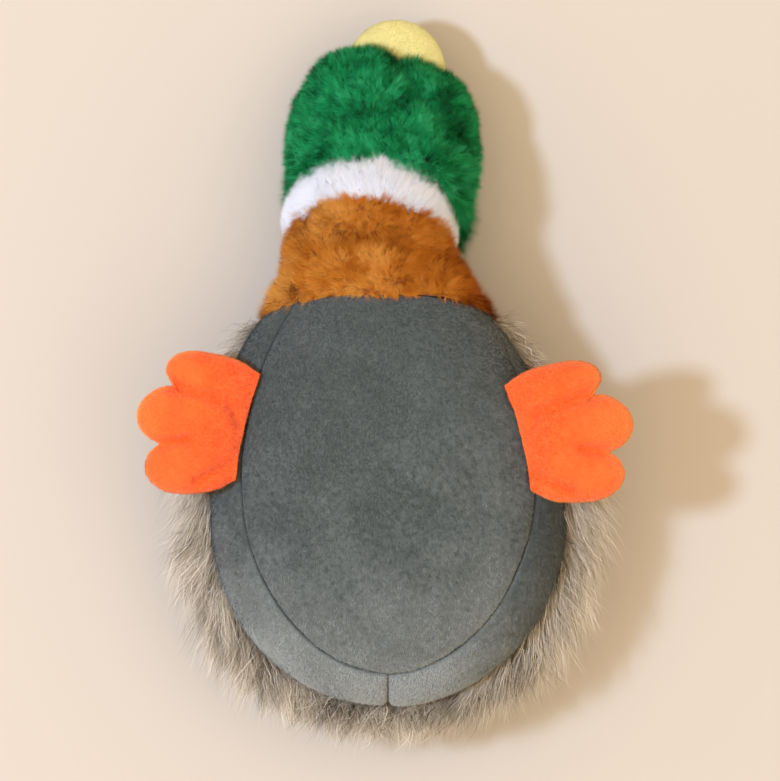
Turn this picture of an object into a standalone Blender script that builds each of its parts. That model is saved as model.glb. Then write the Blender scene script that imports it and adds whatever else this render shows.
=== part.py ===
"""A plush mallard lying on its back: cloth covers, fibre fillings and safety eyes.

All sizes are in metres. +Z runs from the floor up to the belly, +Y from the tail
to the head. The origin is the middle of the flat patch that the back rests on.
"""

import math

import bmesh
import bpy
from mathutils import Matrix, Vector
from mathutils.geometry import delaunay_2d_cdt

# Gaps and build margins
GAP = 0.0003
FILL_GAP = 0.00045
OVERRUN = 0.006
WELD = 0.000001

# Cloth, and the pile that stands on it
CLOTH = 0.002
PLUSH_PILE = 0.005
BACK_PILE = 0.010
PILE_EDGE_DROP = 0.007
FLEECE = 0.0014
REST_CUT = 0.0005

# Torso, measured over its cloth
TORSO_HALF_WIDTH = 0.0795
TORSO_WIDEST_Y = -0.008
TAIL_REACH = 0.084
BELLY_RISE = 0.050
BACK_DEPTH = 0.0525
TORSO_POWER = 2.3

# Seam between the grey belly and the brown chest
CHEST_SEAM_X = -0.0045
CHEST_SEAM_Y = 0.083
CHEST_SEAM_DROP = 0.002
CHEST_SEAM_HALF_WIDTH = 0.049
CHEST_SEAM_HALF_HEIGHT = 0.040
CHEST_SEAM_TILT = math.radians(14)
CHEST_SEAM_TAPER_SHARE = -0.85
CHEST_SEAM_DROP_SHARE = -0.35

# Rims, the grey strips round the belly oval: their width beside it, at the tail
# and where they run out into the chest seam, and how far the oval's widest place
# lies ahead of the torso's
RIM_WIDTH = 0.013
RIM_TAIL_WIDTH = 0.0145
RIM_END_WIDTH = 0.0028
OVAL_LEAD = 0.016
OVAL_POWER = 1.9

# Neck: where its base sits, how it leans, and its round section
NECK_BASE_X = -0.008
CHEST_RUN = 0.0324
NECK_BASE_RISE = 0.0096
NECK_TILT = math.radians(31)
NECK_YAW = math.radians(7.5)
NECK_RADIUS = 0.0345
NECK_BALL_SWELL = 0.0105
COLLAR_WIDTH = 0.018
COLLAR_SWELL = 0.0012

# Head, turned about the neck's axis
HEAD_SWELL = 0.0045
HEAD_CENTRE = 0.031

# Beak, as a flattened dome that leaves the middle of the head
BEAK_YAW = math.radians(9)
BEAK_TILT = math.radians(8)
BEAK_SHOWN = 0.022
BEAK_DOME = 0.026
BEAK_HALF_WIDTH = 0.0225
BEAK_HALF_THICKNESS = 0.0105
BEAK_POWER = 2.2

# Safety eyes and their washers
EYE_AHEAD = 0.014
EYE_ROUND = math.radians(114)
EYE_RADIUS = 0.0055
EYE_HEIGHT = 0.0042
EYE_LIP = 0.0008
SHANK_RADIUS = 0.0016
SHANK_LENGTH = 0.011
WASHER_RADIUS = 0.0060
WASHER_THICKNESS = 0.0012

# Feet: root seams on the belly oval, then the pad with its three toes
LEFT_ROOT_INSET = 0.0175
LEFT_ROOT_Y = 0.0346
LEFT_ROOT_SPLAY = math.radians(12.7)
RIGHT_ROOT_INSET = 0.0225
RIGHT_ROOT_Y = 0.0297
RIGHT_ROOT_SPLAY = math.radians(14)
ROOT_HALF_LENGTH = 0.0255
FOOT_RISE = math.radians(6)
FOOT_HALF_THICKNESS = 0.0062
FOOT_ROOT_TAPER = 0.027
HEAD_SIDE_TOE = (0.0300, 0.0155, 0.0132)
MIDDLE_TOE = (0.0380, -0.0070, 0.0136)
TAIL_SIDE_TOE = (0.0300, -0.0270, 0.0136)
TOE_ROUND = 0.013
FILL_INSET = 0.003

# Facets, and the spacing of the points over a foot's pad
PAD_CENTRE_V = -0.006
PAD_SPACING = 0.0055
PAD_EDGE = 0.0018
PAD_CROWDING_SHARE = 0.8
HALF_RING_STEPS = 16
TAIL_STEPS = 8
FRONT_STEPS = 7
CHEST_STEPS = 5
OVAL_STEPS = 26
TURN_STEPS = 32
EYE_TURN_STEPS = 16
HEAD_TURN_STEPS = 14
PROFILE_STEPS = 6
BEAK_RING_STEPS = 12
BEAK_STEPS = 7
TOE_STEPS = 8
BALL_RINGS = 16
PILE_EDGE_STEPS = 3

# Derived places
SIDE_SEAM_Z = BACK_DEPTH + BACK_PILE - REST_CUT
CHEST_SEAM_Z = SIDE_SEAM_Z - CHEST_SEAM_DROP
NECK_BASE_Y = CHEST_SEAM_Y + CHEST_RUN
NECK_BASE_Z = CHEST_SEAM_Z + NECK_BASE_RISE
NECK_BALL_RADIUS = NECK_RADIUS + NECK_BALL_SWELL
NECK_SEAT = math.sqrt(NECK_BALL_RADIUS**2 - (NECK_RADIUS + PLUSH_PILE) ** 2)
HEAD_RADIUS = NECK_RADIUS + HEAD_SWELL
BEAK_REACH = HEAD_RADIUS + BEAK_SHOWN
FOOT_SPAN = 2 * (MIDDLE_TOE[0] + MIDDLE_TOE[2] - MIDDLE_TOE[1])
LEFT_ROOT_X = LEFT_ROOT_INSET - TORSO_HALF_WIDTH
RIGHT_ROOT_X = TORSO_HALF_WIDTH - RIGHT_ROOT_INSET
OVAL_HALF_WIDTH = TORSO_HALF_WIDTH - RIM_WIDTH
OVAL_WIDEST_Y = TORSO_WIDEST_Y + OVAL_LEAD
OVAL_TAIL_REACH = TAIL_REACH + OVAL_LEAD - RIM_TAIL_WIDTH
OVAL_END_SHARE = (CHEST_SEAM_HALF_WIDTH - RIM_END_WIDTH) / OVAL_HALF_WIDTH
OVAL_FRONT_SHARE = (1 - OVAL_END_SHARE**OVAL_POWER) ** (1 / OVAL_POWER)
OVAL_FRONT_REACH = (CHEST_SEAM_Y - OVAL_WIDEST_Y) / OVAL_FRONT_SHARE
UP = Vector((0, 0, 1))

MATERIALS = {
    "grey_velboa": ((0.127, 0.143, 0.138), 0.95),
    "grey_velboa_rim": ((0.135, 0.152, 0.150), 0.95),
    "beige_long_pile": ((0.376, 0.337, 0.280), 0.98),
    "brown_plush": ((0.515, 0.156, 0.016), 0.95),
    "white_plush": ((0.820, 0.830, 0.900), 0.95),
    "green_plush": ((0.016, 0.242, 0.070), 0.95),
    "yellow_fleece": ((0.870, 0.775, 0.280), 0.90),
    "orange_fleece": ((1.000, 0.170, 0.032), 0.90),
    "polyester_fibre": ((0.850, 0.850, 0.830), 1.00),
    "black_plastic": ((0.010, 0.010, 0.011), 0.12),
    "white_plastic": ((0.700, 0.700, 0.680), 0.45),
}


def clear_scene():
    for obj in list(bpy.data.objects):
        bpy.data.objects.remove(obj, do_unlink=True)


def new_collection(name):
    collection = bpy.data.collections.new(name)
    bpy.context.scene.collection.children.link(collection)
    return collection


def material(name):
    if name in bpy.data.materials:
        return bpy.data.materials[name]
    colour, roughness = MATERIALS[name]
    made = bpy.data.materials.new(name)
    made.use_nodes = True
    shader = made.node_tree.nodes["Principled BSDF"]
    shader.inputs["Base Color"].default_value = (*colour, 1)
    shader.inputs["Roughness"].default_value = roughness
    shader.inputs["Metallic"].default_value = 0
    return made


# Frames and curves


def lean_axes(tilt, yaw):
    """Side, up and ahead of a section that tips down by tilt and swings right by yaw."""
    side = Vector((math.cos(yaw), -math.sin(yaw), 0))
    ahead = Vector((math.sin(yaw) * math.cos(tilt), math.cos(yaw) * math.cos(tilt), -math.sin(tilt)))
    return side, side.cross(ahead), ahead


def frame_at(origin, side, up, ahead):
    """A matrix whose Z runs ahead and whose Y runs up."""
    turn = Matrix((-side, up, ahead)).transposed()
    return Matrix.Translation(origin) @ turn.to_4x4()


def hermite(share, start, end, leave=0.0, arrive=0.0):
    square = share * share
    cube = square * share
    return (
        (2 * cube - 3 * square + 1) * start
        + (cube - 2 * square + share) * leave
        + (3 * square - 2 * cube) * end
        + (cube - square) * arrive
    )


def spread(first, last, steps):
    return [first + (last - first) * step / steps for step in range(steps + 1)]


def power_point(angle, half_width, half_height, power):
    """A point of a superellipse: angle 0 is at its right, a quarter turn is at its top."""
    across = math.copysign(abs(math.cos(angle)) ** (2 / power), math.cos(angle))
    along = math.copysign(abs(math.sin(angle)) ** (2 / power), math.sin(angle))
    return half_width * across, half_height * along


# The torso's skin, as sections from the tail tip to the neck


def tail_section(share, outset):
    swing = (1 - share) * math.pi / 2
    size = math.cos(swing)
    centre = Vector((0, TORSO_WIDEST_Y - (TAIL_REACH + outset) * math.sin(swing), SIDE_SEAM_Z))
    sizes = [size * (whole + outset) for whole in (TORSO_HALF_WIDTH, BELLY_RISE, BACK_DEPTH)]
    return centre, sizes, TORSO_POWER, lean_axes(0, 0)


def front_section(share, outset):
    run = CHEST_SEAM_Y - TORSO_WIDEST_Y
    taper = CHEST_SEAM_TAPER_SHARE * run
    drop = CHEST_SEAM_DROP_SHARE * run
    centre = Vector(
        (
            hermite(share, 0, CHEST_SEAM_X),
            hermite(share, TORSO_WIDEST_Y, CHEST_SEAM_Y, run, run),
            hermite(share, SIDE_SEAM_Z, CHEST_SEAM_Z),
        )
    )
    sizes = [
        hermite(share, TORSO_HALF_WIDTH, CHEST_SEAM_HALF_WIDTH, 0, taper) + outset,
        hermite(share, BELLY_RISE, CHEST_SEAM_HALF_HEIGHT, 0, drop) + outset,
        hermite(share, BACK_DEPTH, CHEST_SEAM_HALF_HEIGHT, 0, drop) + outset,
    ]
    return centre, sizes, TORSO_POWER, lean_axes(share * CHEST_SEAM_TILT, 0)


def chest_section(share, outset):
    run = NECK_BASE_Y - CHEST_SEAM_Y
    taper = CHEST_SEAM_TAPER_SHARE * run
    drop = CHEST_SEAM_DROP_SHARE * run
    centre = Vector(
        (
            hermite(share, CHEST_SEAM_X, NECK_BASE_X),
            hermite(share, CHEST_SEAM_Y, NECK_BASE_Y, run, run),
            hermite(share, CHEST_SEAM_Z, NECK_BASE_Z),
        )
    )
    sizes = [
        hermite(share, CHEST_SEAM_HALF_WIDTH, NECK_RADIUS, taper) + outset,
        hermite(share, CHEST_SEAM_HALF_HEIGHT, NECK_RADIUS, drop) + outset,
        hermite(share, CHEST_SEAM_HALF_HEIGHT, NECK_RADIUS, drop) + outset,
    ]
    tilt = CHEST_SEAM_TILT + (NECK_TILT - CHEST_SEAM_TILT) * share
    return centre, sizes, hermite(share, TORSO_POWER, 2), lean_axes(tilt, NECK_YAW * share)


def section_arc(section, first, last, steps, nudge):
    """The points of a section between two angles, moved by nudge."""
    centre, (half_width, rise, depth), power, (side, up, _) = section
    points = []
    for angle in spread(first, last, steps):
        height = rise if math.sin(angle) >= 0 else depth
        across, along = power_point(angle, half_width, height, power)
        points.append(centre + nudge + side * across + up * along)
    return points


def torso_sections(outset):
    """Sections from the tail tip to the chest seam."""
    tail = [tail_section(share, outset) for share in spread(0, 1, TAIL_STEPS)]
    front = [front_section(share, outset) for share in spread(0, 1, FRONT_STEPS)]
    return tail + front[1:]


# Making objects


def link(name, mesh, collection, finish=None):
    obj = bpy.data.objects.new(name, mesh)
    collection.objects.link(obj)
    if finish:
        mesh.materials.append(material(finish))
    return obj


def bridge_rings(name, rings, closed=False):
    """A closed mesh through rings of equal counts; a ring shrunk to a point makes a pole."""
    work = bmesh.new()
    loops = [[work.verts.new(point) for point in ring] for ring in rings]
    pairs = list(zip(loops, loops[1:]))
    if closed:
        pairs.append((loops[-1], loops[0]))
    else:
        work.faces.new(loops[0])
        work.faces.new(loops[-1])
    for near, far in pairs:
        for index, vertex in enumerate(near):
            after = (index + 1) % len(near)
            work.faces.new((vertex, near[after], far[after], far[index]))
    bmesh.ops.remove_doubles(work, verts=work.verts, dist=WELD)
    bmesh.ops.dissolve_degenerate(work, edges=work.edges, dist=WELD)
    bmesh.ops.recalc_face_normals(work, faces=work.faces)
    mesh = bpy.data.meshes.new(name)
    work.to_mesh(mesh)
    work.free()
    smooth(mesh)
    return mesh


def smooth(mesh):
    mesh.shade_smooth()
    mesh.set_sharp_from_angle(angle=math.radians(40))


def turned(name, profile, frame, collection, finish=None, ring=False, steps=TURN_STEPS):
    """A profile of (radius, height) turned about the frame's Z, running down its outer side."""
    mesh = bpy.data.meshes.new(name)
    points = [(radius, 0, height) for radius, height in profile]
    edges = [(index, index + 1) for index in range(len(points) - 1)]
    if ring:
        edges.append((len(points) - 1, 0))
    mesh.from_pydata(points, edges, [])
    obj = link(name, mesh, collection, finish)
    obj.matrix_world = frame
    screw = obj.modifiers.new("Turn", "SCREW")
    screw.steps = steps
    screw.render_steps = steps
    screw.use_merge_vertices = True
    screw.merge_threshold = WELD
    screw.use_smooth_shade = True
    return obj


def as_cutter(obj):
    obj.hide_render = True
    obj.display_type = "WIRE"
    return obj


def cut(obj, cutter, operation="DIFFERENCE"):
    modifier = obj.modifiers.new(f"{operation.title()} {cutter.name}", "BOOLEAN")
    modifier.operation = operation
    modifier.solver = "EXACT"
    modifier.object = cutter


def hang_on_joint(name, origin, children, collection):
    """An empty on a joint's axis that carries the pieces of its body."""
    joint = bpy.data.objects.new(name, None)
    collection.objects.link(joint)
    joint.location = origin
    for child in children:
        if child.matrix_world.translation.length == 0:
            child.data.transform(Matrix.Translation(-origin))
            child.location = origin
    bpy.context.view_layer.update()
    for child in children:
        child.parent = joint
        child.matrix_parent_inverse = joint.matrix_world.inverted()
    return joint


# Torso


def half_shell_rings(outer_outset, inner_outset, first, last, nudge):
    steps = max(2, round(HALF_RING_STEPS * abs(last - first) / math.pi))
    rings = []
    for outer, inner in zip(torso_sections(outer_outset), torso_sections(inner_outset)):
        over = section_arc(outer, first, last, steps, nudge)
        under = section_arc(inner, first, last, steps, nudge)
        rings.append(over + under[::-1])
    return rings


def belly_covers(parts, cutters):
    """The middle panel and the two rims, parted on the oval seam and the tail seam."""
    lift = Vector((0, 0, GAP / 2))
    sideways = Vector((GAP / 2, 0, 0))
    oval = oval_cutter("belly_oval_cutter", 0, cutters)
    wide_oval = oval_cutter("rim_oval_cutter", GAP, cutters)
    middle = bridge_rings("belly_panel", half_shell_rings(0, -CLOTH, 0, math.pi, lift))
    panel = link("belly_panel", middle, parts, "grey_velboa")
    cut(panel, oval, "INTERSECT")
    right_rings = half_shell_rings(0, -CLOTH, 0, math.pi / 2, lift + sideways)
    right = link("rim_right", bridge_rings("rim_right", right_rings), parts, "grey_velboa_rim")
    cut(right, wide_oval)
    left_rings = half_shell_rings(0, -CLOTH, math.pi / 2, math.pi, lift - sideways)
    left = link("rim_left", bridge_rings("rim_left", left_rings), parts, "grey_velboa_rim")
    cut(left, wide_oval)


def oval_cutter(name, outset, cutters):
    """An upright prism over the belly oval."""
    points = []
    for angle in spread(0, math.tau, 2 * OVAL_STEPS)[:-1]:
        reach = OVAL_FRONT_REACH if math.sin(angle) > 0 else OVAL_TAIL_REACH
        x, y = power_point(angle, OVAL_HALF_WIDTH + outset, reach + outset, OVAL_POWER)
        points.append(Vector((x, y + OVAL_WIDEST_Y, SIDE_SEAM_Z)))
    top = UP * (BELLY_RISE + OVERRUN)
    mesh = bridge_rings(name, [points, [point + top for point in points]])
    return as_cutter(link(name, mesh, cutters))


def pile_edge(skin, corner, below):
    """Points that round the pile over, from the cloth at the seam down to its side."""
    down = below - corner
    drop_share = min(0.5, PILE_EDGE_DROP / max(down.length, WELD))
    points = []
    for angle in spread(0, math.pi / 2, PILE_EDGE_STEPS):
        out = (corner - skin) * math.sin(angle)
        points.append(skin + out + down * drop_share * (1 - math.cos(angle)))
    return points


def back_rings():
    drop = Vector((0, 0, -GAP / 2))
    rings = []
    for pile, skin, lining in zip(*(torso_sections(out) for out in (BACK_PILE, 0, -CLOTH))):
        over = section_arc(pile, math.pi, math.tau, HALF_RING_STEPS, drop)
        under = section_arc(lining, math.pi, math.tau, HALF_RING_STEPS, drop)
        left, right = section_arc(skin, math.pi, math.tau, 1, drop)
        first = pile_edge(left, over[0], over[1])
        last = pile_edge(right, over[-1], over[-2])
        rings.append(first + over[1:-1] + last[::-1] + under[::-1])
    return rings


def back_cover(parts, cutters):
    """The long-pile back, as thick as its lying pile, cut flat where it rests."""
    back = link("back_cover", bridge_rings("back_cover", back_rings()), parts, "beige_long_pile")
    half = TORSO_HALF_WIDTH
    floor = bmesh.new()
    bmesh.ops.create_cube(floor, size=2 * half)
    bmesh.ops.translate(floor, verts=floor.verts, vec=-UP * half)
    mesh = bpy.data.meshes.new("floor_cutter")
    floor.to_mesh(mesh)
    floor.free()
    cut(back, as_cutter(link("floor_cutter", mesh, cutters)))
    return back


def torso_fill(parts, ball):
    """Fibre from the tail to the neck, dished where the neck's ball sits in it."""
    inset = -CLOTH - FILL_GAP
    sections = torso_sections(inset)
    sections += [chest_section(share, inset) for share in spread(0, 1, CHEST_STEPS)][1:]
    still = Vector()
    rings = [section_arc(each, 0, math.tau, 2 * HALF_RING_STEPS, still)[:-1] for each in sections]
    fill = link("torso_fill", bridge_rings("torso_fill", rings), parts, "polyester_fibre")
    cut(fill, ball)
    return fill


def chest_cover(parts, ball):
    """The brown sleeve, from the belly seam to the collar."""
    outer = [chest_section(share, PLUSH_PILE) for share in spread(0, 1, CHEST_STEPS)]
    inner = [chest_section(share, -CLOTH) for share in spread(0, 1, CHEST_STEPS)]
    rings = []
    still = Vector()
    for section in outer + inner[::-1]:
        rings.append(section_arc(section, 0, math.tau, 2 * HALF_RING_STEPS, still)[:-1])
    ahead = outer[0][3][2] * GAP
    rings[0] = [point + ahead for point in rings[0]]
    rings[-1] = [point + ahead for point in rings[-1]]
    mesh = bridge_rings("chest_cover", rings, closed=True)
    chest = link("chest_cover", mesh, parts, "brown_plush")
    cut(chest, ball)
    return chest


# Neck


def neck_axes():
    return lean_axes(NECK_TILT, NECK_YAW)


def nod_point():
    """The centre of the ball that the neck bends about."""
    base = Vector((NECK_BASE_X, NECK_BASE_Y, NECK_BASE_Z))
    return base + neck_axes()[2] * NECK_SEAT


def head_seam_point():
    base = Vector((NECK_BASE_X, NECK_BASE_Y, NECK_BASE_Z))
    return base + neck_axes()[2] * COLLAR_WIDTH


def ball_arc(first_radius, last_radius):
    """Points on the back of the neck's ball between two distances from its axis."""
    first = math.asin(first_radius / NECK_BALL_RADIUS)
    last = math.asin(last_radius / NECK_BALL_RADIUS)
    arc = []
    for angle in spread(first, last, PROFILE_STEPS):
        arc.append((NECK_BALL_RADIUS * math.sin(angle), -NECK_BALL_RADIUS * math.cos(angle)))
    return arc


def neck_ball_cutter(cutters):
    ball = bmesh.new()
    inscribed_share = math.cos(math.pi / (2 * BALL_RINGS)) ** 2
    radius = (NECK_BALL_RADIUS + GAP) / inscribed_share
    bmesh.ops.create_uvsphere(ball, u_segments=2 * BALL_RINGS, v_segments=BALL_RINGS, radius=radius)
    mesh = bpy.data.meshes.new("neck_ball_cutter")
    ball.to_mesh(mesh)
    ball.free()
    cutter = as_cutter(link("neck_ball_cutter", mesh, cutters))
    cutter.matrix_world = frame_at(nod_point(), *neck_axes())
    return cutter


def neck(parts):
    """The white collar and the filling inside it, both turned about the neck's axis."""
    frame = frame_at(nod_point(), *neck_axes())
    top = COLLAR_WIDTH - NECK_SEAT
    outer = NECK_RADIUS + PLUSH_PILE
    inner = NECK_RADIUS - CLOTH
    bottom = -NECK_SEAT
    rim = [(outer, top)]
    for share in spread(0, 1, PROFILE_STEPS)[1:-1]:
        rim.append((outer + COLLAR_SWELL * math.sin(math.pi * share), top + (bottom - top) * share))
    collar_profile = rim + ball_arc(outer, inner) + [(inner, top)]
    collar = turned("collar", collar_profile, frame, parts, "white_plush", ring=True)
    fill_radius = inner - GAP
    fill_profile = [(0, top), (fill_radius, top)] + ball_arc(fill_radius, 0)
    fill = turned("neck_fill", fill_profile, frame, parts, "polyester_fibre")
    return [collar, fill]


# Head


def head_profile(outset):
    """(radius, height) from the collar's top seam to the front pole."""
    back_reach = HEAD_CENTRE / math.sqrt(1 - (NECK_RADIUS / HEAD_RADIUS) ** 2)
    profile = []
    for height in spread(0, HEAD_CENTRE, PROFILE_STEPS)[:-1]:
        share = (HEAD_CENTRE - height) / back_reach
        profile.append((HEAD_RADIUS * math.sqrt(1 - share * share) + outset, height))
    radius = HEAD_RADIUS + outset
    for angle in spread(0, math.pi / 2, PROFILE_STEPS + 2):
        profile.append((radius * math.cos(angle), HEAD_CENTRE + radius * math.sin(angle)))
    profile[-1] = (0, HEAD_CENTRE + radius)
    return profile


def head_frame():
    return frame_at(head_seam_point() + neck_axes()[2] * GAP, *neck_axes())


def head_centre():
    return head_frame() @ Vector((0, 0, HEAD_CENTRE))


def head_cover(name, hand, parts):
    """One half of the green cover, from the belly side round to the crown."""
    side, up, ahead = neck_axes()
    origin = head_frame().translation + side * hand * GAP / 2
    outline = head_profile(PLUSH_PILE) + head_profile(-CLOTH)[::-1]
    rings = []
    for angle in spread(0, math.pi, HEAD_TURN_STEPS):
        spoke = up * math.cos(angle) + side * hand * math.sin(angle)
        rings.append([origin + spoke * radius + ahead * height for radius, height in outline])
    return link(name, bridge_rings(name, rings), parts, "green_plush")


def head_form(name, outset, collection, finish=None):
    profile = head_profile(outset)[::-1] + [(0, 0)]
    return turned(name, profile, head_frame(), collection, finish)


# Beak


def beak_section(share, outset):
    """A section of the beak: straight first, then closing as a dome."""
    reach = BEAK_REACH + outset
    dome = BEAK_DOME + outset
    start = HEAD_RADIUS - CLOTH - OVERRUN
    straight = (reach - dome - start) / (reach - start)
    side, up, ahead = lean_axes(BEAK_TILT, BEAK_YAW)
    if share < straight:
        size = 1
        run = start + (reach - start) * share
    else:
        swing = (share - straight) / (1 - straight) * math.pi / 2
        size = math.cos(swing)
        run = reach - dome + dome * math.sin(swing)
    half_width = (BEAK_HALF_WIDTH + outset) * size
    half_thickness = (BEAK_HALF_THICKNESS + outset) * size
    centre = head_centre() + ahead * run
    return centre, (half_width, half_thickness, half_thickness), BEAK_POWER, (side, up, ahead)


def beak_sections(outset):
    return [beak_section(share, outset) for share in spread(0, 1, BEAK_STEPS)]


def beak_half(name, first, parts, cutter):
    """One yellow half; the two halves meet on the seam along the beak's edge."""
    up = lean_axes(BEAK_TILT, BEAK_YAW)[1]
    nudge = up * GAP / 2 * (1 if first == 0 else -1)
    last = first + math.pi
    rings = []
    for outer, inner in zip(beak_sections(0), beak_sections(-CLOTH)):
        over = section_arc(outer, first, last, BEAK_RING_STEPS, nudge)
        under = section_arc(inner, first, last, BEAK_RING_STEPS, nudge)
        rings.append(over + under[::-1])
    half = link(name, bridge_rings(name, rings), parts, "yellow_fleece")
    cut(half, cutter)
    return half


def beak_form(name, outset, collection, finish=None):
    rings = []
    for section in beak_sections(outset):
        rings.append(section_arc(section, 0, math.tau, 2 * BEAK_RING_STEPS, Vector())[:-1])
    return link(name, bridge_rings(name, rings), collection, finish)


# Eyes


def eye_frame(hand):
    """Where an eye sits on the cloth: Z points straight out of the head."""
    side, up, ahead = neck_axes()
    rise = math.asin(EYE_AHEAD / HEAD_RADIUS)
    spoke = up * math.cos(EYE_ROUND) + side * hand * math.sin(EYE_ROUND)
    out = spoke * math.cos(rise) + ahead * math.sin(rise)
    across = out.cross(ahead).normalized()
    return frame_at(head_centre() + out * HEAD_RADIUS, across, out.cross(-across), out)


def eye_turning(name, profile, hand, collection, finish=None, ring=False):
    return turned(name, profile, eye_frame(hand), collection, finish, ring, EYE_TURN_STEPS)


def dome_arc(radius, low, high, steps):
    """A dome's profile from its top down to its rim."""
    arc = []
    for angle in spread(math.pi / 2, 0, steps):
        arc.append((radius * math.cos(angle), low + (high - low) * math.sin(angle)))
    arc[0] = (0, high)
    return arc


def washer_top():
    """Flat washers sit this far under the cloth's outer face, clear of its curve."""
    return -(CLOTH + GAP + WASHER_RADIUS**2 / (2 * (HEAD_RADIUS - CLOTH)))


def eye(label, hand, parts):
    """A domed eye whose shank passes through the cloth."""
    foot = -SHANK_LENGTH
    profile = dome_arc(EYE_RADIUS, GAP + EYE_LIP, EYE_HEIGHT, PROFILE_STEPS)
    profile += [(EYE_RADIUS, GAP), (SHANK_RADIUS, GAP), (SHANK_RADIUS, foot), (0, foot)]
    return eye_turning(f"eye_{label}", profile, hand, parts, "black_plastic")


def washer(label, hand, parts):
    """The flat washer that locks the shank behind the cloth."""
    top = washer_top()
    bottom = top - WASHER_THICKNESS
    bore = SHANK_RADIUS + GAP
    profile = [(WASHER_RADIUS, top), (WASHER_RADIUS, bottom), (bore, bottom), (bore, top)]
    return eye_turning(f"eye_washer_{label}", profile, hand, parts, "white_plastic", ring=True)


def eye_cover_cutter(label, hand, cutters):
    """The well in the pile and the hole in the cloth."""
    top = PLUSH_PILE + OVERRUN
    bottom = -CLOTH - OVERRUN
    well = EYE_RADIUS + GAP
    bore = SHANK_RADIUS + GAP
    profile = [(0, top), (well, top), (well, 0), (bore, 0), (bore, bottom), (0, bottom)]
    return as_cutter(eye_turning(f"eye_well_cutter_{label}", profile, hand, cutters))


def eye_fill_cutter(label, hand, cutters):
    """The pocket in the filling for the washer and the shank's end."""
    washer_bottom = washer_top() - WASHER_THICKNESS - GAP
    bottom = -SHANK_LENGTH - GAP
    pocket = WASHER_RADIUS + GAP
    bore = SHANK_RADIUS + GAP
    profile = [(0, OVERRUN), (pocket, OVERRUN), (pocket, washer_bottom)]
    profile += [(bore, washer_bottom), (bore, bottom), (0, bottom)]
    return as_cutter(eye_turning(f"eye_pocket_cutter_{label}", profile, hand, cutters))


def head(parts, cutters):
    beak_root = head_form("beak_root_cutter", -CLOTH, cutters)
    as_cutter(beak_root)
    beak_mouth = as_cutter(beak_form("beak_mouth_cutter", GAP, cutters))
    right = head_cover("head_cover_right", 1, parts)
    left = head_cover("head_cover_left", -1, parts)
    fill = head_form("head_fill", -CLOTH - GAP, parts, "polyester_fibre")
    pieces = [right, left, fill]
    for cover in (right, left):
        cut(cover, beak_mouth)
    for label, hand, cover in (("right", 1, right), ("left", -1, left)):
        cut(cover, eye_cover_cutter(label, hand, cutters))
        cut(fill, eye_fill_cutter(label, hand, cutters))
        pieces += [eye(label, hand, parts), washer(label, hand, parts)]
    pieces.append(beak_half("beak_lower", 0, parts, beak_root))
    pieces.append(beak_half("beak_upper", math.pi, parts, beak_root))
    beak_fill = beak_form("beak_fill", -CLOTH - GAP, parts, "polyester_fibre")
    cut(beak_fill, beak_root)
    return pieces + [beak_fill]


# Feet


def circles_notch(first, second):
    """The outer crossing of two toe circles, each given as (u, v, radius)."""
    near = Vector(first[:2])
    far = Vector(second[:2])
    apart = (far - near).length
    along = (far - near) / apart
    reach = (apart * apart + first[2] ** 2 - second[2] ** 2) / (2 * apart)
    rise = math.sqrt(first[2] ** 2 - reach * reach)
    return near + along * reach + Vector((along.y, -along.x)) * rise


def toe_arc(toe, start, end, steps):
    """Points of a toe's circle, clockwise from start to end."""
    centre = Vector(toe[:2])
    first = math.atan2(*(start - centre).yx)
    last = math.atan2(*(end - centre).yx)
    if last > first:
        last -= math.tau
    return [centre + Vector((math.cos(a), math.sin(a))) * toe[2] for a in spread(first, last, steps)]


def foot_outline():
    """The pad's outline in (u, v): u leads away from the root seam, v towards the head."""
    upper, middle, lower = HEAD_SIDE_TOE, MIDDLE_TOE, TAIL_SIDE_TOE
    upper_notch = circles_notch(middle, upper)
    lower_notch = circles_notch(lower, middle)
    upper_start = Vector(upper[:2]) + Vector((0, upper[2]))
    lower_end = Vector(lower[:2]) - Vector((0, lower[2]))
    outline = toe_arc(upper, upper_start, upper_notch, TOE_STEPS)[:-1]
    outline += toe_arc(middle, upper_notch, lower_notch, TOE_STEPS)[:-1]
    outline += toe_arc(lower, lower_notch, lower_end, TOE_STEPS)
    root_tail = Vector((0, -ROOT_HALF_LENGTH))
    root_head = Vector((0, ROOT_HALF_LENGTH))
    outline += [lower_end.lerp(root_tail, share) for share in (1 / 3, 2 / 3)]
    outline += [root_tail.lerp(root_head, share) for share in spread(0, 1, 4)]
    outline += [root_head.lerp(upper_start, share) for share in (1 / 3, 2 / 3)]
    return outline


def edge_normals(outline):
    """The outward direction at each point of a clockwise outline."""
    normals = []
    for before, after in zip(outline[-1:] + outline[:-1], outline[1:] + outline[:1]):
        run = (after - before).normalized()
        normals.append(Vector((-run.y, run.x)))
    return normals


def reach_to(point, walls):
    """The distance from a point to the nearest of some straight walls."""
    nearest = math.inf
    for start, end in walls:
        run = end - start
        share = min(1, max(0, (point - start).dot(run) / run.dot(run)))
        nearest = min(nearest, (point - start - run * share).length)
    return nearest


def is_inside(point, walls):
    crossings = 0
    for start, end in walls:
        if (start.y > point.y) != (end.y > point.y):
            share = (point.y - start.y) / (end.y - start.y)
            crossings += point.x < start.x + (end.x - start.x) * share
    return crossings % 2 == 1


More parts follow.
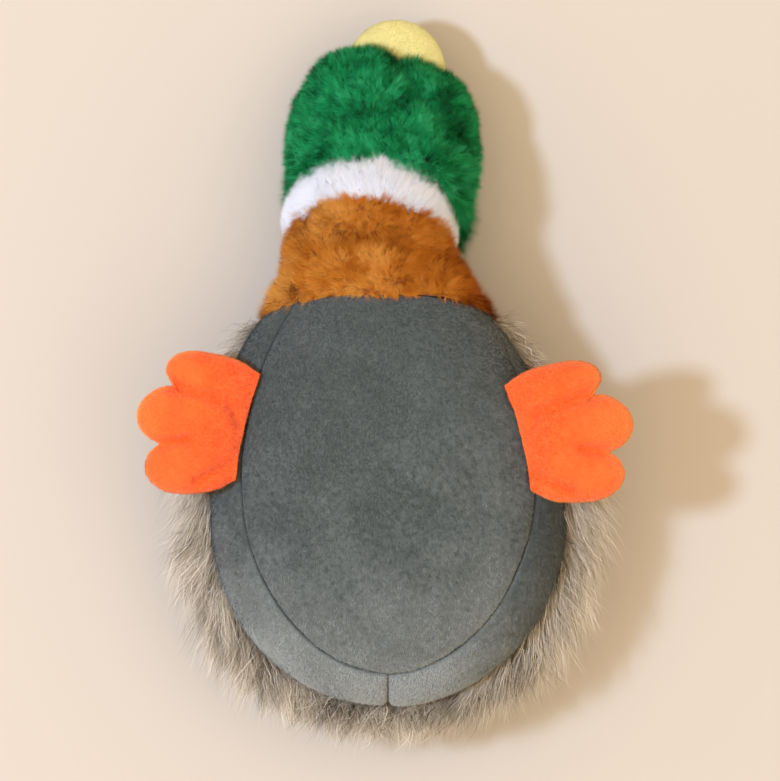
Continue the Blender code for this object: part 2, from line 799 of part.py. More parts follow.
def pad_plan(outline):
    """Points and triangles that fill an outline, closest together along its edge."""
    walls = list(zip(outline, outline[1:] + outline[:1]))
    inner = [point - out * PAD_EDGE for point, out in zip(outline, edge_normals(outline))]
    columns = spread(0, FOOT_SPAN, round(FOOT_SPAN / PAD_SPACING))
    rows = spread(-FOOT_SPAN / 2, FOOT_SPAN / 2, round(FOOT_SPAN / PAD_SPACING))
    middle = [Vector((u, v + PAD_CENTRE_V)) for u in columns for v in rows]
    kept = [point for point in inner if reach_to(point, walls) > PAD_EDGE * PAD_CROWDING_SHARE]
    kept = [point for point in kept if is_inside(point, walls)]
    room = PAD_EDGE + PAD_SPACING / 2
    kept += [point for point in middle if is_inside(point, walls) and reach_to(point, walls) > room]
    count = len(outline)
    loop = [(index, (index + 1) % count) for index in range(count)]
    made = delaunay_2d_cdt(outline + kept, loop, [], 1, WELD)
    return made[0], made[2]


def pad_solid(name, outline, top, bottom, placed):
    """A closed body over an outline, between two heights that follow the plan."""
    points, triangles = pad_plan(outline)
    sides = {pair for corners in triangles for pair in zip(corners, corners[1:] + corners[:1])}
    work = bmesh.new()
    over = [work.verts.new(placed(point, top(point))) for point in points]
    under = [work.verts.new(placed(point, bottom(point))) for point in points]
    for first, second, third in triangles:
        work.faces.new((over[first], over[second], over[third]))
        work.faces.new((under[third], under[second], under[first]))
    for start, end in sides:
        if (end, start) not in sides:
            work.faces.new((over[end], over[start], under[start], under[end]))
    bmesh.ops.remove_doubles(work, verts=work.verts, dist=WELD)
    bmesh.ops.dissolve_degenerate(work, edges=work.edges, dist=WELD)
    bmesh.ops.recalc_face_normals(work, faces=work.faces)
    mesh = bpy.data.meshes.new(name)
    work.to_mesh(mesh)
    work.free()
    smooth(mesh)
    return mesh


def root_share(point):
    """How far the pad has opened from its flat root seam."""
    return min(1, max(0, point.x / FOOT_ROOT_TAPER))


def swell(point, walls, round_over):
    """The pad's height over its edge, as a share, rounding up from the walls."""
    share = min(1, reach_to(point, walls) / round_over)
    return math.sqrt(1 - (1 - share) ** 2) * root_share(point)


def foot_axes(hand, splay):
    """Out from the root, along it towards the head, and square to the pad."""
    flat = Vector((hand * math.cos(splay), math.sin(splay), 0))
    along = Vector((-hand * math.sin(splay), math.cos(splay), 0))
    out = flat * math.cos(FOOT_RISE) + UP * math.sin(FOOT_RISE)
    square = UP * math.cos(FOOT_RISE) - flat * math.sin(FOOT_RISE)
    return out, along, square


def belly_height(x, y):
    """The belly's height over a point beside the middle of the torso."""
    share = (y - TORSO_WIDEST_Y) / (CHEST_SEAM_Y - TORSO_WIDEST_Y)
    centre, (half_width, rise, _), power, _ = front_section(min(1, max(0, share)), 0)
    edge = min(1, abs(x - centre.x) / half_width)
    return centre.z + rise * (1 - edge**power) ** (1 / power)


def foot_root(hand, x, y, splay):
    """The middle of the root seam, just over the belly all along its length."""
    along = foot_axes(hand, splay)[1]
    heights = []
    for share in spread(-1, 1, 8):
        spot = Vector((x, y, 0)) + along * ROOT_HALF_LENGTH * share
        heights.append(belly_height(spot.x, spot.y))
    return Vector((x, y, max(heights) + FLEECE + GAP + GAP))


def foot(label, hand, x, y, splay, parts):
    """Two fleece sides and their filling, lying out from the root seam."""
    out, along, square = foot_axes(hand, splay)
    root = foot_root(hand, x, y, splay)
    outline = foot_outline()
    walls = zip(outline, outline[1:] + outline[:1])
    free = [wall for wall in walls if wall[0].x + wall[1].x > 0]
    half = FOOT_HALF_THICKNESS - FLEECE

    def placed(point, height):
        return root + out * point.x + along * point.y + square * height

    def bulge(point):
        return half * swell(point, free, TOE_ROUND)

    def over_top(point):
        return GAP / 2 + FLEECE + bulge(point)

    def over_bottom(point):
        return GAP / 2 + bulge(point)

    def under_top(point):
        return -over_bottom(point)

    def under_bottom(point):
        return -over_top(point)

    drawn_in = [point - out * FILL_INSET for point, out in zip(outline, edge_normals(outline))]
    edge = list(zip(drawn_in, drawn_in[1:] + drawn_in[:1]))

    def fill_top(point):
        return (half - GAP) * swell(point, edge, TOE_ROUND - FILL_INSET)

    def fill_bottom(point):
        return -fill_top(point)

    heights = {"upper": (over_top, over_bottom), "lower": (under_top, under_bottom)}
    pieces = []
    for side, (top, bottom) in heights.items():
        name = f"foot_{label}_{side}"
        mesh = pad_solid(name, outline, top, bottom, placed)
        pieces.append(link(name, mesh, parts, "orange_fleece"))
    name = f"foot_{label}_fill"
    mesh = pad_solid(name, drawn_in, fill_top, fill_bottom, placed)
    pieces.append(link(name, mesh, parts, "polyester_fibre"))
    return hang_on_joint(f"foot_{label}_hinge", root, pieces, parts)


def main():
    clear_scene()
    parts = new_collection("plush_duck")
    cutters = new_collection("cutters")
    cutters.hide_render = True
    ball = neck_ball_cutter(cutters)
    belly_covers(parts, cutters)
    back_cover(parts, cutters)
    torso_fill(parts, ball)
    chest_cover(parts, ball)
    neck_joint = hang_on_joint("neck_nod_joint", nod_point(), neck(parts), parts)
    head_joint = hang_on_joint("head_turn_joint", head_seam_point(), head(parts, cutters), parts)
    left = foot("left", -1, LEFT_ROOT_X, LEFT_ROOT_Y, LEFT_ROOT_SPLAY, parts)
    right = foot("right", 1, RIGHT_ROOT_X, RIGHT_ROOT_Y, RIGHT_ROOT_SPLAY, parts)
    for joint in (neck_joint, head_joint, left, right):
        place = ", ".join(f"{value:.5f}" for value in joint.matrix_world.translation)
        print(f"{joint.name} at {place}")
    print("neck side, up, ahead:", *(tuple(round(v, 5) for v in axis) for axis in neck_axes()))


main()
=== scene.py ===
# %% [markdown]
# A plush mallard that lies on its back. Its skin is sewn from covers of different
# cloth: short grey velboa on the belly, long beige pile on the back, brown, white
# and green plush on the chest, collar and head, and fleece on the beak and feet.
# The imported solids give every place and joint. This file dresses them: first the
# sewn skins, then the fibres that stand on them, then the finishes and the light.

# %% Load the frame
import math
import time

import bpy
import numpy as np
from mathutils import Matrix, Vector, kdtree, noise


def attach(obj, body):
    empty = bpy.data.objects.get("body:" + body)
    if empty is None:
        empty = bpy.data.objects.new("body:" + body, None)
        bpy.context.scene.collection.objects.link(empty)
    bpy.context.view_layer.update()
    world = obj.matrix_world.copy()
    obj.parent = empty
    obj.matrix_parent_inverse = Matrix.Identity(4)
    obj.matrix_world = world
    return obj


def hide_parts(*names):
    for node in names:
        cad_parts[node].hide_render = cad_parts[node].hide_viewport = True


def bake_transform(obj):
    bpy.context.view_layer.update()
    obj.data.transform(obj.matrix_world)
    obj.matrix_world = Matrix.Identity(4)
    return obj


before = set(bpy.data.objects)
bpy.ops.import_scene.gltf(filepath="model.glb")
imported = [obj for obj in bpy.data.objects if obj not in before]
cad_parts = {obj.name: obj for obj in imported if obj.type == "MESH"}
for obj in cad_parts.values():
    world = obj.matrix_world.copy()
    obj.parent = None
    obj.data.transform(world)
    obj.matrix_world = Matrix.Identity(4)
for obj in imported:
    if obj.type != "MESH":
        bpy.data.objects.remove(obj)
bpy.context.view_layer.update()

STARTED = time.time()
MM = 0.001

# %% [markdown]
# The toy's forms follow formulas, not scans, so the same few sizes that made the
# solids are written here again. The torso is a row of rounded sections from the
# tail to the collar. Writing it as one function of two numbers, how far along and
# how far round, lets every cover share its seam exactly with its neighbour.

# %% Sizes of the sewn forms
HALF_WIDTH, WIDEST_Y, TAIL_REACH = 79.5 * MM, -8 * MM, 84 * MM
BELLY_RISE, BACK_DEPTH, SIDE_Z = 50 * MM, 52.5 * MM, 62 * MM
CHEST_AT = np.array((-4.5, 83, 60)) * MM
CHEST_WIDE, CHEST_HIGH, CHEST_TILT = 49 * MM, 40 * MM, math.radians(14)
NECK_AT = np.array((-8, 115.4, 69.6)) * MM
NECK_TILT, NECK_YAW, NECK_RADIUS = math.radians(31), math.radians(7.5), 34.5 * MM
ROUNDNESS, TAPER, DROP = 2.3, -0.85, -0.35
OVAL_WIDE, OVAL_Y, OVAL_TAIL, OVAL_FRONT, OVAL_POWER = 66.5 * MM, 8 * MM, 85.5 * MM, 108 * MM, 1.9


def unit(vectors):
    return vectors / np.maximum(np.linalg.norm(vectors, axis=-1, keepdims=True), 1e-12)


def lean_axes(tilt, yaw):
    """Side, up and ahead of a section that tips down by tilt and swings by yaw."""
    tilt, yaw = np.broadcast_arrays(np.asarray(tilt, float), np.asarray(yaw, float))
    side = np.stack((np.cos(yaw), -np.sin(yaw), 0 * yaw), -1)
    run = (np.sin(yaw) * np.cos(tilt), np.cos(yaw) * np.cos(tilt), -np.sin(tilt))
    ahead = np.stack(run, -1)
    return side, np.cross(side, ahead), ahead


def hermite(share, start, end, leave=0.0, arrive=0.0):
    square, cube = share**2, share**3
    ends = (2 * cube - 3 * square + 1) * start + (3 * square - 2 * cube) * end
    return ends + (cube - 2 * square + share) * leave + (cube - square) * arrive


def round_point(angle, wide, high, power):
    across = np.sign(np.cos(angle)) * np.abs(np.cos(angle)) ** (2 / power)
    along = np.sign(np.sin(angle)) * np.abs(np.sin(angle)) ** (2 / power)
    return wide * across, high * along


def torso_skin(along, angle, outset=0.0):
    """A point of the torso's skin. Along is 0 at the tail tip, 1 at the widest
    section, 2 at the chest seam and 3 at the collar. Angle 0 is the right side
    seam and a quarter turn is the middle of the belly."""
    along, angle, outset = np.broadcast_arrays(along, angle, outset)
    tail, front, chest = (np.clip(along - first, 0, 1) for first in (0, 1, 2))
    swing = (1 - tail) * np.pi / 2
    run = CHEST_AT[1] - WIDEST_Y
    neck_run = NECK_AT[1] - CHEST_AT[1]
    x = hermite(front, 0, CHEST_AT[0]) + hermite(chest, 0, NECK_AT[0] - CHEST_AT[0])
    y = WIDEST_Y - (TAIL_REACH + outset) * np.sin(swing) + run * front + neck_run * chest
    z = hermite(front, SIDE_Z, CHEST_AT[2]) + hermite(chest, 0, NECK_AT[2] - CHEST_AT[2])

    def size(widest, at_chest, lean):
        body = hermite(front, widest, at_chest, 0, lean * run)
        neck = hermite(chest, at_chest, NECK_RADIUS, lean * neck_run)
        return (np.where(along > 2, neck, body) + outset) * np.cos(swing)

    wide = size(HALF_WIDTH, CHEST_WIDE, TAPER)
    rise = size(BELLY_RISE, CHEST_HIGH, DROP)
    depth = size(BACK_DEPTH, CHEST_HIGH, DROP)
    power = hermite(chest, ROUNDNESS, 2.0)
    tilt = CHEST_TILT * front + (NECK_TILT - CHEST_TILT) * chest
    side, up, _ = lean_axes(tilt, NECK_YAW * chest)
    high = np.where(np.sin(angle) >= 0, rise, depth)
    across, height = round_point(angle, wide, high, power)
    return np.stack((x, y, z), -1) + side * across[..., None] + up * height[..., None]


def oval_angle(along, first, last):
    """Where a section crosses the belly's oval seam, between two angles."""
    outer, inner = np.full_like(along, first), np.full_like(along, last)
    for _ in range(40):
        middle = (outer + inner) / 2
        point = torso_skin(along, middle)
        reach = np.where(point[:, 1] > OVAL_Y, OVAL_FRONT, OVAL_TAIL)
        spot = np.abs(point[:, 0]) / OVAL_WIDE, np.abs(point[:, 1] - OVAL_Y) / reach
        outside = spot[0] ** OVAL_POWER + spot[1] ** OVAL_POWER > 1
        outer, inner = np.where(outside, middle, outer), np.where(outside, inner, middle)
    return inner


OVAL_START = 1 - math.asin((OVAL_TAIL - OVAL_Y + WIDEST_Y) / TAIL_REACH) / (math.pi / 2)
print("the oval starts at", round(OVAL_START, 3), "of the way from tail tip to widest section")

# %% [markdown]
# A cover starts as Blender's flat grid, like cloth on the cutting table, and is
# wrapped onto the form by moving its points. Then it dives into each seam, puckers a
# little along the thread, and crowns between the seams. All three depend on the
# distance to the cover's edge, so one helper moves each point along its normal.

# %% Helpers that wrap and sew a cover
def deselect():
    if bpy.context.object and bpy.context.object.mode != "OBJECT":
        bpy.ops.object.mode_set(mode="OBJECT")
    bpy.ops.object.select_all(action="DESELECT")


def choose(obj):
    deselect()
    obj.select_set(True)
    bpy.context.view_layer.objects.active = obj


def points_of(obj, key="co"):
    flat = np.empty(len(obj.data.vertices) * 3)
    obj.data.vertices.foreach_get(key, flat)
    return flat.reshape(-1, 3)


def normals_of(obj):
    return points_of(obj, "normal")


def place(obj, points):
    obj.data.vertices.foreach_set("co", np.asarray(points, float).ravel())
    obj.data.update()


def in_edit_mode(*steps):
    bpy.ops.object.mode_set(mode="EDIT")
    bpy.ops.mesh.select_all(action="SELECT")
    for step, settings in steps:
        step(**settings)
    bpy.ops.object.mode_set(mode="OBJECT")


def cover(name, columns, rows, wrap, outward):
    """A grid of cloth wrapped by wrap(across, along), both 0 to 1."""
    deselect()
    bpy.ops.mesh.primitive_grid_add(x_subdivisions=columns, y_subdivisions=rows, size=1)
    obj = bpy.context.object
    obj.name = obj.data.name = name
    flat = points_of(obj)
    place(obj, wrap(flat[:, 0] + 0.5, flat[:, 1] + 0.5))
    in_edit_mode((bpy.ops.mesh.remove_doubles, {"threshold": 0.02 * MM}))
    points, normals = points_of(obj), normals_of(obj)
    if np.sum((points - np.asarray(outward)) * normals) < 0:
        in_edit_mode((bpy.ops.mesh.flip_normals, {}))
    bpy.ops.object.shade_smooth()
    return obj


def search_tree(points):
    tree = kdtree.KDTree(len(points))
    for index, point in enumerate(points):
        tree.insert(point, index)
    tree.balance()
    return tree


def gap_to(points, border):
    """Each point's distance to the nearest of some border points."""
    if border.shape[1] == 2:
        points, border = np.insert(points, 2, 0, axis=1), np.insert(border, 2, 0, axis=1)
    tree = search_tree(border)
    return np.array([tree.find(point)[2] for point in points])


def lumps(points, size, seed):
    """Soft noise between about -1 and 1, with lumps of a given size."""
    shift = Vector((seed * 7.3, seed * 3.1, seed * 5.7))
    return np.array([noise.noise(Vector(point) / size + shift) for point in points]) * 1.6


def swirls(points, size, seed):
    """A soft random direction at each point, as hands leave in a pile."""
    return np.stack([lumps(points, size, seed + axis) for axis in range(3)], -1)


def fade(gap, reach):
    """1 where the gap is nothing, and next to 0 beyond the reach."""
    return np.exp(-((gap / reach) ** 2))


def sew(obj, border, depth, reach, slit=0.0, crown=0.0, pucker=0.0, lump=0.0, seed=1):
    """Pull the cloth into its seams, pucker it along them and crown it between. The
    slit is the narrow groove at the stitches, and how far each point is from them
    is kept in millimetres as an attribute."""
    points, normals = points_of(obj), normals_of(obj)
    gap = gap_to(points, border)
    if slit:
        mark = obj.data.attributes.new("seam_gap", "FLOAT", "POINT")
        mark.data.foreach_set("value", (gap / MM).astype(np.float32))
    move = -depth * fade(gap, reach) - slit * fade(gap, 0.9 * MM)
    move += crown * (1 - fade(gap, 6 * reach))
    move += pucker * lumps(points, 3.2 * MM, seed) * fade(gap, 2.4 * reach)
    move += lump * lumps(points, 30 * MM, seed + 1)
    place(obj, points + normals * move[:, None])


def apply(obj, kind, **settings):
    choose(obj)
    modifier = obj.modifiers.new(kind.title(), kind)
    for key, value in settings.items():
        setattr(modifier, key, value)
    bpy.ops.object.modifier_apply(modifier=modifier.name)


# %% [markdown]
# Stuffing pushes the cloth out, and the seams hold it back. Blender's Cloth acts
# that out: a closed copy of the form is remeshed, the points near its seams are
# held, and pressure swells the rest for 20 frames. Each cover then moves as the
# nearest points of the copy did, so it keeps its own edges. The push is capped.

# %% Helper that swells cloth with a pressure simulation
def swell(form, covers, voxel, pressure, cap, held, hold=2.5 * MM, frames=20):
    """Blow up a closed form with its seams held, and move the covers with it."""
    form.data.remesh_voxel_size = voxel
    choose(form)
    bpy.ops.object.voxel_remesh()
    before = points_of(form)
    pinned = gap_to(before, held) < max(hold, voxel)
    group = form.vertex_groups.new(name="seams")
    group.add([int(index) for index in np.flatnonzero(pinned)], 1.0, "REPLACE")
    cloth = form.modifiers.new("Cloth", "CLOTH")
    for key, value in {
        "use_pressure": True, "uniform_pressure_force": pressure, "mass": 0.1, "quality": 6,
        "tension_stiffness": 5.0, "compression_stiffness": 5.0, "shear_stiffness": 2.0,
        "bending_stiffness": 0.05, "vertex_group_mass": group.name,
    }.items():
        setattr(cloth.settings, key, value)
    cloth.settings.effector_weights.gravity = 0
    cloth.collision_settings.use_collision = False
    cloth.point_cache.frame_end = frames
    for frame_number in range(1, frames + 1):
        bpy.context.scene.frame_set(frame_number)
    bpy.ops.object.modifier_apply(modifier=cloth.name)
    bpy.context.scene.frame_set(1)
    push = points_of(form) - before
    size = np.linalg.norm(push, axis=1, keepdims=True)
    push *= cap * np.tanh(size / cap) / np.maximum(size, 1e-9)
    tree = search_tree(before)
    for piece in covers:
        points = points_of(piece)
        found = [tree.find_n(point, 6) for point in points]
        near = np.array([[index for _, index, _ in each] for each in found])
        weight = 1 / (np.array([[gap for _, _, gap in each] for each in found]) + 0.3 * voxel) ** 2
        moved = (push[near] * weight[..., None]).sum(1) / weight.sum(1)[:, None]
        place(piece, points + moved)
    print(f"{form.name}: {len(before)} points, {pinned.sum()} held, pushed {size.max() / MM:.1f} mm at most,"
          f" {size.mean() / MM:.2f} mm on average")
    bpy.data.objects.remove(form)


# %% [markdown]
# The belly is three covers: the oval panel and the two rims, which meet at the
# tail in a short seam. Rows of the grid run across the toy, and each row ends
# exactly where it meets the oval, so the three covers share one line of stitches.

# %% Belly panel and rims
ROWS_BEFORE = np.linspace(0, OVAL_START, 16)
ROWS_OVAL = OVAL_START + (2 - OVAL_START) * np.linspace(0, 1, 100) ** 1.6
RIM_ROWS = np.concatenate((ROWS_BEFORE[:-1], ROWS_OVAL))
BELLY_MIDDLE = (0, 0, SIDE_Z)
RIGHT_EDGE = oval_angle(ROWS_OVAL, 0.0, math.pi / 2)
LEFT_EDGE = oval_angle(ROWS_OVAL, math.pi, math.pi / 2)


def seam_line(*lines):
    """Points half a millimetre apart along some lines."""
    runs = []
    for line in lines:
        steps = np.linalg.norm(np.diff(line, axis=0), axis=1)
        way = np.concatenate(((0,), np.cumsum(steps)))
        stops = np.arange(0, way[-1], 0.5 * MM)
        runs.append(np.stack([np.interp(stops, way, line[:, axis]) for axis in range(3)], -1))
    return np.concatenate(runs)


TURN = np.linspace(0, 2 * np.pi, 361)
SIDE_ROWS = np.linspace(0, 2, 300)
OVAL_SEAM = seam_line(torso_skin(ROWS_OVAL, RIGHT_EDGE), torso_skin(ROWS_OVAL, LEFT_EDGE))
CHEST_SEAM = seam_line(torso_skin(2.0, TURN))
SIDE_SEAM = seam_line(torso_skin(SIDE_ROWS, 0.0), torso_skin(SIDE_ROWS, math.pi))
TAIL_SEAM = seam_line(torso_skin(np.linspace(0, OVAL_START, 30), math.pi / 2))


def towards_seams(across):
    """Bring the columns closer together near both edges, where the seams are."""
    return 0.3 * across + 0.7 * (0.5 - 0.5 * np.cos(np.pi * across))


def belly_wrap(across, along):
    across = towards_seams(across)
    row = np.interp(along, np.linspace(0, 1, len(ROWS_OVAL)), ROWS_OVAL)
    right = np.interp(row, ROWS_OVAL, RIGHT_EDGE)
    left = np.interp(row, ROWS_OVAL, LEFT_EDGE)
    return torso_skin(row, right + (left - right) * across)


def rim_wrap(side):
    edge = RIGHT_EDGE if side > 0 else LEFT_EDGE
    start = 0.0 if side > 0 else math.pi

    def wrap(across, along):
        across = towards_seams(across)
        row = np.interp(along, np.linspace(0, 1, len(RIM_ROWS)), RIM_ROWS)
        stop = np.interp(row, ROWS_OVAL, edge, left=math.pi / 2)
        return torso_skin(row, start + (stop - start) * across)

    return wrap


belly = cover("belly_skin", 90, len(ROWS_OVAL), belly_wrap, BELLY_MIDDLE)
STITCHED = {"depth": 0.9 * MM, "reach": 4.0 * MM, "slit": 1.5 * MM, "crown": 0.8 * MM, "pucker": 0.3 * MM}
RIM_SEAMS = np.concatenate((OVAL_SEAM, CHEST_SEAM, SIDE_SEAM, TAIL_SEAM))
sew(belly, np.concatenate((OVAL_SEAM, CHEST_SEAM)), lump=0.9 * MM, seed=3, **STITCHED)
rims = {}
for label, side in (("right", 1), ("left", -1)):
    rims[label] = cover(f"rim_{label}_skin", 26, len(RIM_ROWS), rim_wrap(side), BELLY_MIDDLE)
    sew(rims[label], RIM_SEAMS, lump=0.5 * MM, seed=5 + side, **STITCHED)
print("belly panel rows", len(ROWS_OVAL), "and rim rows", len(RIM_ROWS))

# %% [markdown]
# The back and the chest sleeve lie under pile, so their skins only carry the
# fibres and close the form. The sleeve sinks at the throat, where the photograph
# shows a dark fold, and both dive into the chest seam. Once the torso's five covers
# are there, the stuffing swells them together.

# %% Back and chest sleeve
def back_wrap(across, along):
    return torso_skin(2 * along, np.pi + np.pi * across)


def chest_wrap(across, along):
    return torso_skin(2 + along, 2 * np.pi * across)


back = cover("back_skin", 72, 84, back_wrap, BELLY_MIDDLE)
sew(back, np.concatenate((SIDE_SEAM, CHEST_SEAM)), 1.5 * MM, 2.6 * MM, lump=0.8 * MM, seed=9)
chest = cover("chest_skin", 120, 26, chest_wrap, (CHEST_AT + NECK_AT) / 2)
THROAT = torso_skin(2.55, np.linspace(1.35, 1.95, 30))
sew(chest, CHEST_SEAM, 2.0 * MM, 3.0 * MM, lump=1.2 * MM, seed=11)
points, normals = points_of(chest), normals_of(chest)
place(chest, points + normals * (1.2 * MM * lumps(points, 12 * MM, 19))[:, None])
sew(chest, THROAT, 4.0 * MM, 4.0 * MM, seed=12)
print("back and chest skins made")


def torso_wrap(across, along):
    """The whole torso as one form, closed at the neck."""
    ring = torso_skin(np.clip(along / 0.98, 0, 1) * 3, 2 * np.pi * across)
    shut = np.clip((along - 0.98) / 0.02, 0, 1)[:, None]
    return ring * (1 - shut) + NECK_AT * shut


every_seam = np.concatenate((OVAL_SEAM, TAIL_SEAM, SIDE_SEAM, CHEST_SEAM, torso_skin(3.0, TURN)))
torso_form = cover("torso_form", 120, 100, torso_wrap, BELLY_MIDDLE)
swell(torso_form, [belly, rims["left"], rims["right"], back, chest], voxel=4 * MM, pressure=8,
      cap=2.0 * MM, held=every_seam)

# %% [markdown]
# The collar and head are turned about the neck's leaning axis. The head has a
# seam down its middle, from the beak over the belly side, where the stuffing
# parts into two soft cheeks. That groove is the notch over the beak.

# %% Collar and head
NECK_SIDE, NECK_UP, NECK_AHEAD = lean_axes(NECK_TILT, NECK_YAW)
COLLAR_WIDTH, HEAD_RADIUS, HEAD_AT = 18 * MM, 39 * MM, 31 * MM
HEAD_SEAM_AT = NECK_AT + NECK_AHEAD * COLLAR_WIDTH
HEAD_CENTRE = HEAD_SEAM_AT + NECK_AHEAD * (HEAD_AT + 0.3 * MM)


def turned(origin, height, radius, angle):
    spoke = NECK_UP * np.cos(angle)[:, None] + NECK_SIDE * np.sin(angle)[:, None]
    return origin + NECK_AHEAD * height[:, None] + spoke * radius[:, None]


def collar_wrap(across, along):
    height = -1.5 * MM + (COLLAR_WIDTH + 3 * MM) * along
    radius = NECK_RADIUS + 2.4 * MM * np.sin(np.pi * along)
    return turned(NECK_AT, height, radius, 2 * np.pi * across)


def head_wrap(across, along):
    reach = HEAD_AT / math.sqrt(1 - (NECK_RADIUS / HEAD_RADIUS) ** 2)
    height = HEAD_AT * np.clip(along / 0.42, 0, 1)
    behind = HEAD_RADIUS * np.sqrt(1 - ((HEAD_AT - height) / reach) ** 2)
    swing = np.clip((along - 0.42) / 0.58, 0, 1) * np.pi / 2
    wide, high = round_point(swing, HEAD_RADIUS, HEAD_RADIUS, 2.8)
    radius = np.where(along < 0.42, behind, wide)
    height = np.where(along < 0.42, height, HEAD_AT + high)
    return turned(HEAD_SEAM_AT, height, radius, 2 * np.pi * across)


collar = cover("collar_skin", 120, 12, collar_wrap, (NECK_AT + HEAD_SEAM_AT) / 2)
head = cover("head_skin", 120, 64, head_wrap, HEAD_CENTRE)
shares = np.linspace(0, 1, 90)
CHEEK_SEAM = np.concatenate((head_wrap(shares * 0, shares), head_wrap(shares * 0 + 0.5, shares)))
sew(head, CHEEK_SEAM, 1.6 * MM, 4.0 * MM, lump=1.6 * MM, seed=15)
VALLEY_LINES = (((5, 196), (9, 187), (23, 173), (29, 162)), ((-28, 173), (-12, 170), (3, 173), (14, 180)))
VALLEYS = np.concatenate([np.linspace(start, end, 24) for line in VALLEY_LINES
                          for start, end in zip(line, line[1:])]) * MM


def from_valleys(points):
    """How far the belly side of the head is from its valleys, seen from above."""
    flat = gap_to(points[:, :2], VALLEYS)
    return np.where(points[:, 2] > HEAD_CENTRE[2], flat, 1.0)


def on_side(points, hand, power):
    """1 on one side of the neck, and 0 from its middle to the other side."""
    return np.clip(hand * ((points - NECK_AT) @ NECK_SIDE) / NECK_RADIUS, 0, 1) ** power


def hangs_over(points, hand=1, power=3.0):
    """1 on one cheek beside the collar, where the plush hangs over it, else 0."""
    return on_side(points, hand, power) * fade((points - HEAD_SEAM_AT) @ NECK_AHEAD, 9 * MM)


points, normals = points_of(head), normals_of(head)
dent = 3.2 * MM * fade(from_valleys(points), 5 * MM) - 1.2 * MM * lumps(points, 12 * MM, 17)
dent -= 2.4 * MM * fade(gap_to(points[:, :2], np.array(((-25, 197),)) * MM), 12 * MM)
dent -= 4.5 * MM * hangs_over(points)
place(head, points - normals * dent[:, None])
print("head centre in mm", np.round(HEAD_CENTRE / MM, 1))

# %% [markdown]
# The beak is two halves of short yellow fleece, sewn round their edge and stuffed
# to a soft dome. A seam that faces the side shows as a faint line, so the cloth
# dips by less than a millimetre there.

# %% Beak
BEAK_SIDE, BEAK_UP, BEAK_AHEAD = lean_axes(math.radians(8), math.radians(9))
BEAK_FROM, BEAK_REACH, BEAK_DOME = 29 * MM, 61 * MM, 26 * MM
BEAK_WIDE, BEAK_THICK = 23.2 * MM, 10.5 * MM


def beak_wrap(across, along):
    straight = (BEAK_REACH - BEAK_DOME - BEAK_FROM) / (BEAK_REACH - BEAK_FROM)
    swing = np.clip((along - straight) / (1 - straight), 0, 1) * np.pi / 2
    run = np.where(
        along < straight,
        BEAK_FROM + (BEAK_REACH - BEAK_FROM) * along,
        BEAK_REACH - BEAK_DOME + BEAK_DOME * np.sin(swing),
    )
    size = np.cos(swing)
    wide, high = round_point(2 * np.pi * across, BEAK_WIDE * size, BEAK_THICK * size, 2.2)
    base = HEAD_CENTRE + BEAK_AHEAD * run[:, None]
    return base + BEAK_SIDE * wide[:, None] + BEAK_UP * high[:, None]


beak = cover("beak_skin", 96, 48, beak_wrap, HEAD_CENTRE + BEAK_AHEAD * BEAK_FROM)
BEAK_SEAM = np.concatenate((beak_wrap(shares * 0, shares), beak_wrap(shares * 0 + 0.5, shares)))
sew(beak, BEAK_SEAM, 0.8 * MM, 1.6 * MM, crown=0.5 * MM, pucker=0.1 * MM, lump=0.5 * MM, seed=21)
print("beak tip in mm", np.round(beak_wrap(shares[-1:], shares[-1:])[0] / MM, 1))

# %% [markdown]
# Each foot is two pieces of orange fleece, sewn round the edge and filled. The
# outline is a smooth line through a few points in millimetres. The height of the pad
# follows the distance to the free edge, so each toe rises by itself, and it dips
# along a few folds. Then the same simulation swells each pad with its edge held.

# %% Feet
TOE_RUNS = (
    ((0, 22.5), (10, 26), (23, 26.6), (33.4, 25.2), (39.8, 20.6), (40.6, 14.6), (36, 9.3)),
    ((36, 9.3), (42.6, 6.4), (47.8, 0), (49, -7), (46.4, -12.6), (41.8, -15.8), (36.2, -17.3)),
    ((36.2, -17.3), (40, -22.5), (40.4, -29), (36.6, -34.2), (29, -36.8), (19, -35.8), (8, -32), (0, -25.6)),
    ((0, -25.6), (1.2, -14), (1.4, 6), (0, 22.5)),
)
PAD_HALF, TOE_ROUND, ROOT_TAPER = 7.2 * MM, 13 * MM, 18 * MM
PAD_CENTRE = np.array((20, -5)) * MM
FOOT_RISE = math.radians(6)
FEET = {
    "left": (-1, np.array((-62.0, 34.6, 96.02)) * MM, math.radians(12.7)),
    "right": (1, np.array((57.0, 29.7, 98.36)) * MM, math.radians(14.0)),
}


def smooth_line(knots, count=60):
    """A smooth line through some points, cut into count steps."""
    knots = np.array(knots, float) * MM
    knots = np.concatenate((knots[:1] * 2 - knots[1:2], knots, knots[-1:] * 2 - knots[-2:-1]))
    place_on = np.linspace(0, len(knots) - 3 - 1e-9, count)
    first, share = place_on.astype(int), (place_on % 1)[:, None]
    a, b, c, d = (knots[first + step] for step in range(4))
    return 0.5 * (2 * b + (c - a) * share + (2 * a - 5 * b + 4 * c - d) * share**2
                  + (3 * b - a - 3 * c + d) * share**3)


OUTLINE = np.concatenate([smooth_line(run) for run in TOE_RUNS])
bearing = np.unwrap(np.arctan2(*(OUTLINE - PAD_CENTRE).T[::-1]))
REACH = np.linalg.norm(OUTLINE - PAD_CENTRE, axis=1)
order = np.argsort(bearing % (2 * np.pi))
FREE_EDGE = OUTLINE[OUTLINE[:, 0] > 1.0 * MM]
FOLD_ENDS = (((36, 9.3), (16, 7)), ((36.2, -17.3), (26, -13)), ((17, -30), (3, -19)), ((12, 8), (4, -1)))
FOLDS = np.concatenate([np.linspace(start, end, 24) for start, end in np.array(FOLD_ENDS)]) * MM


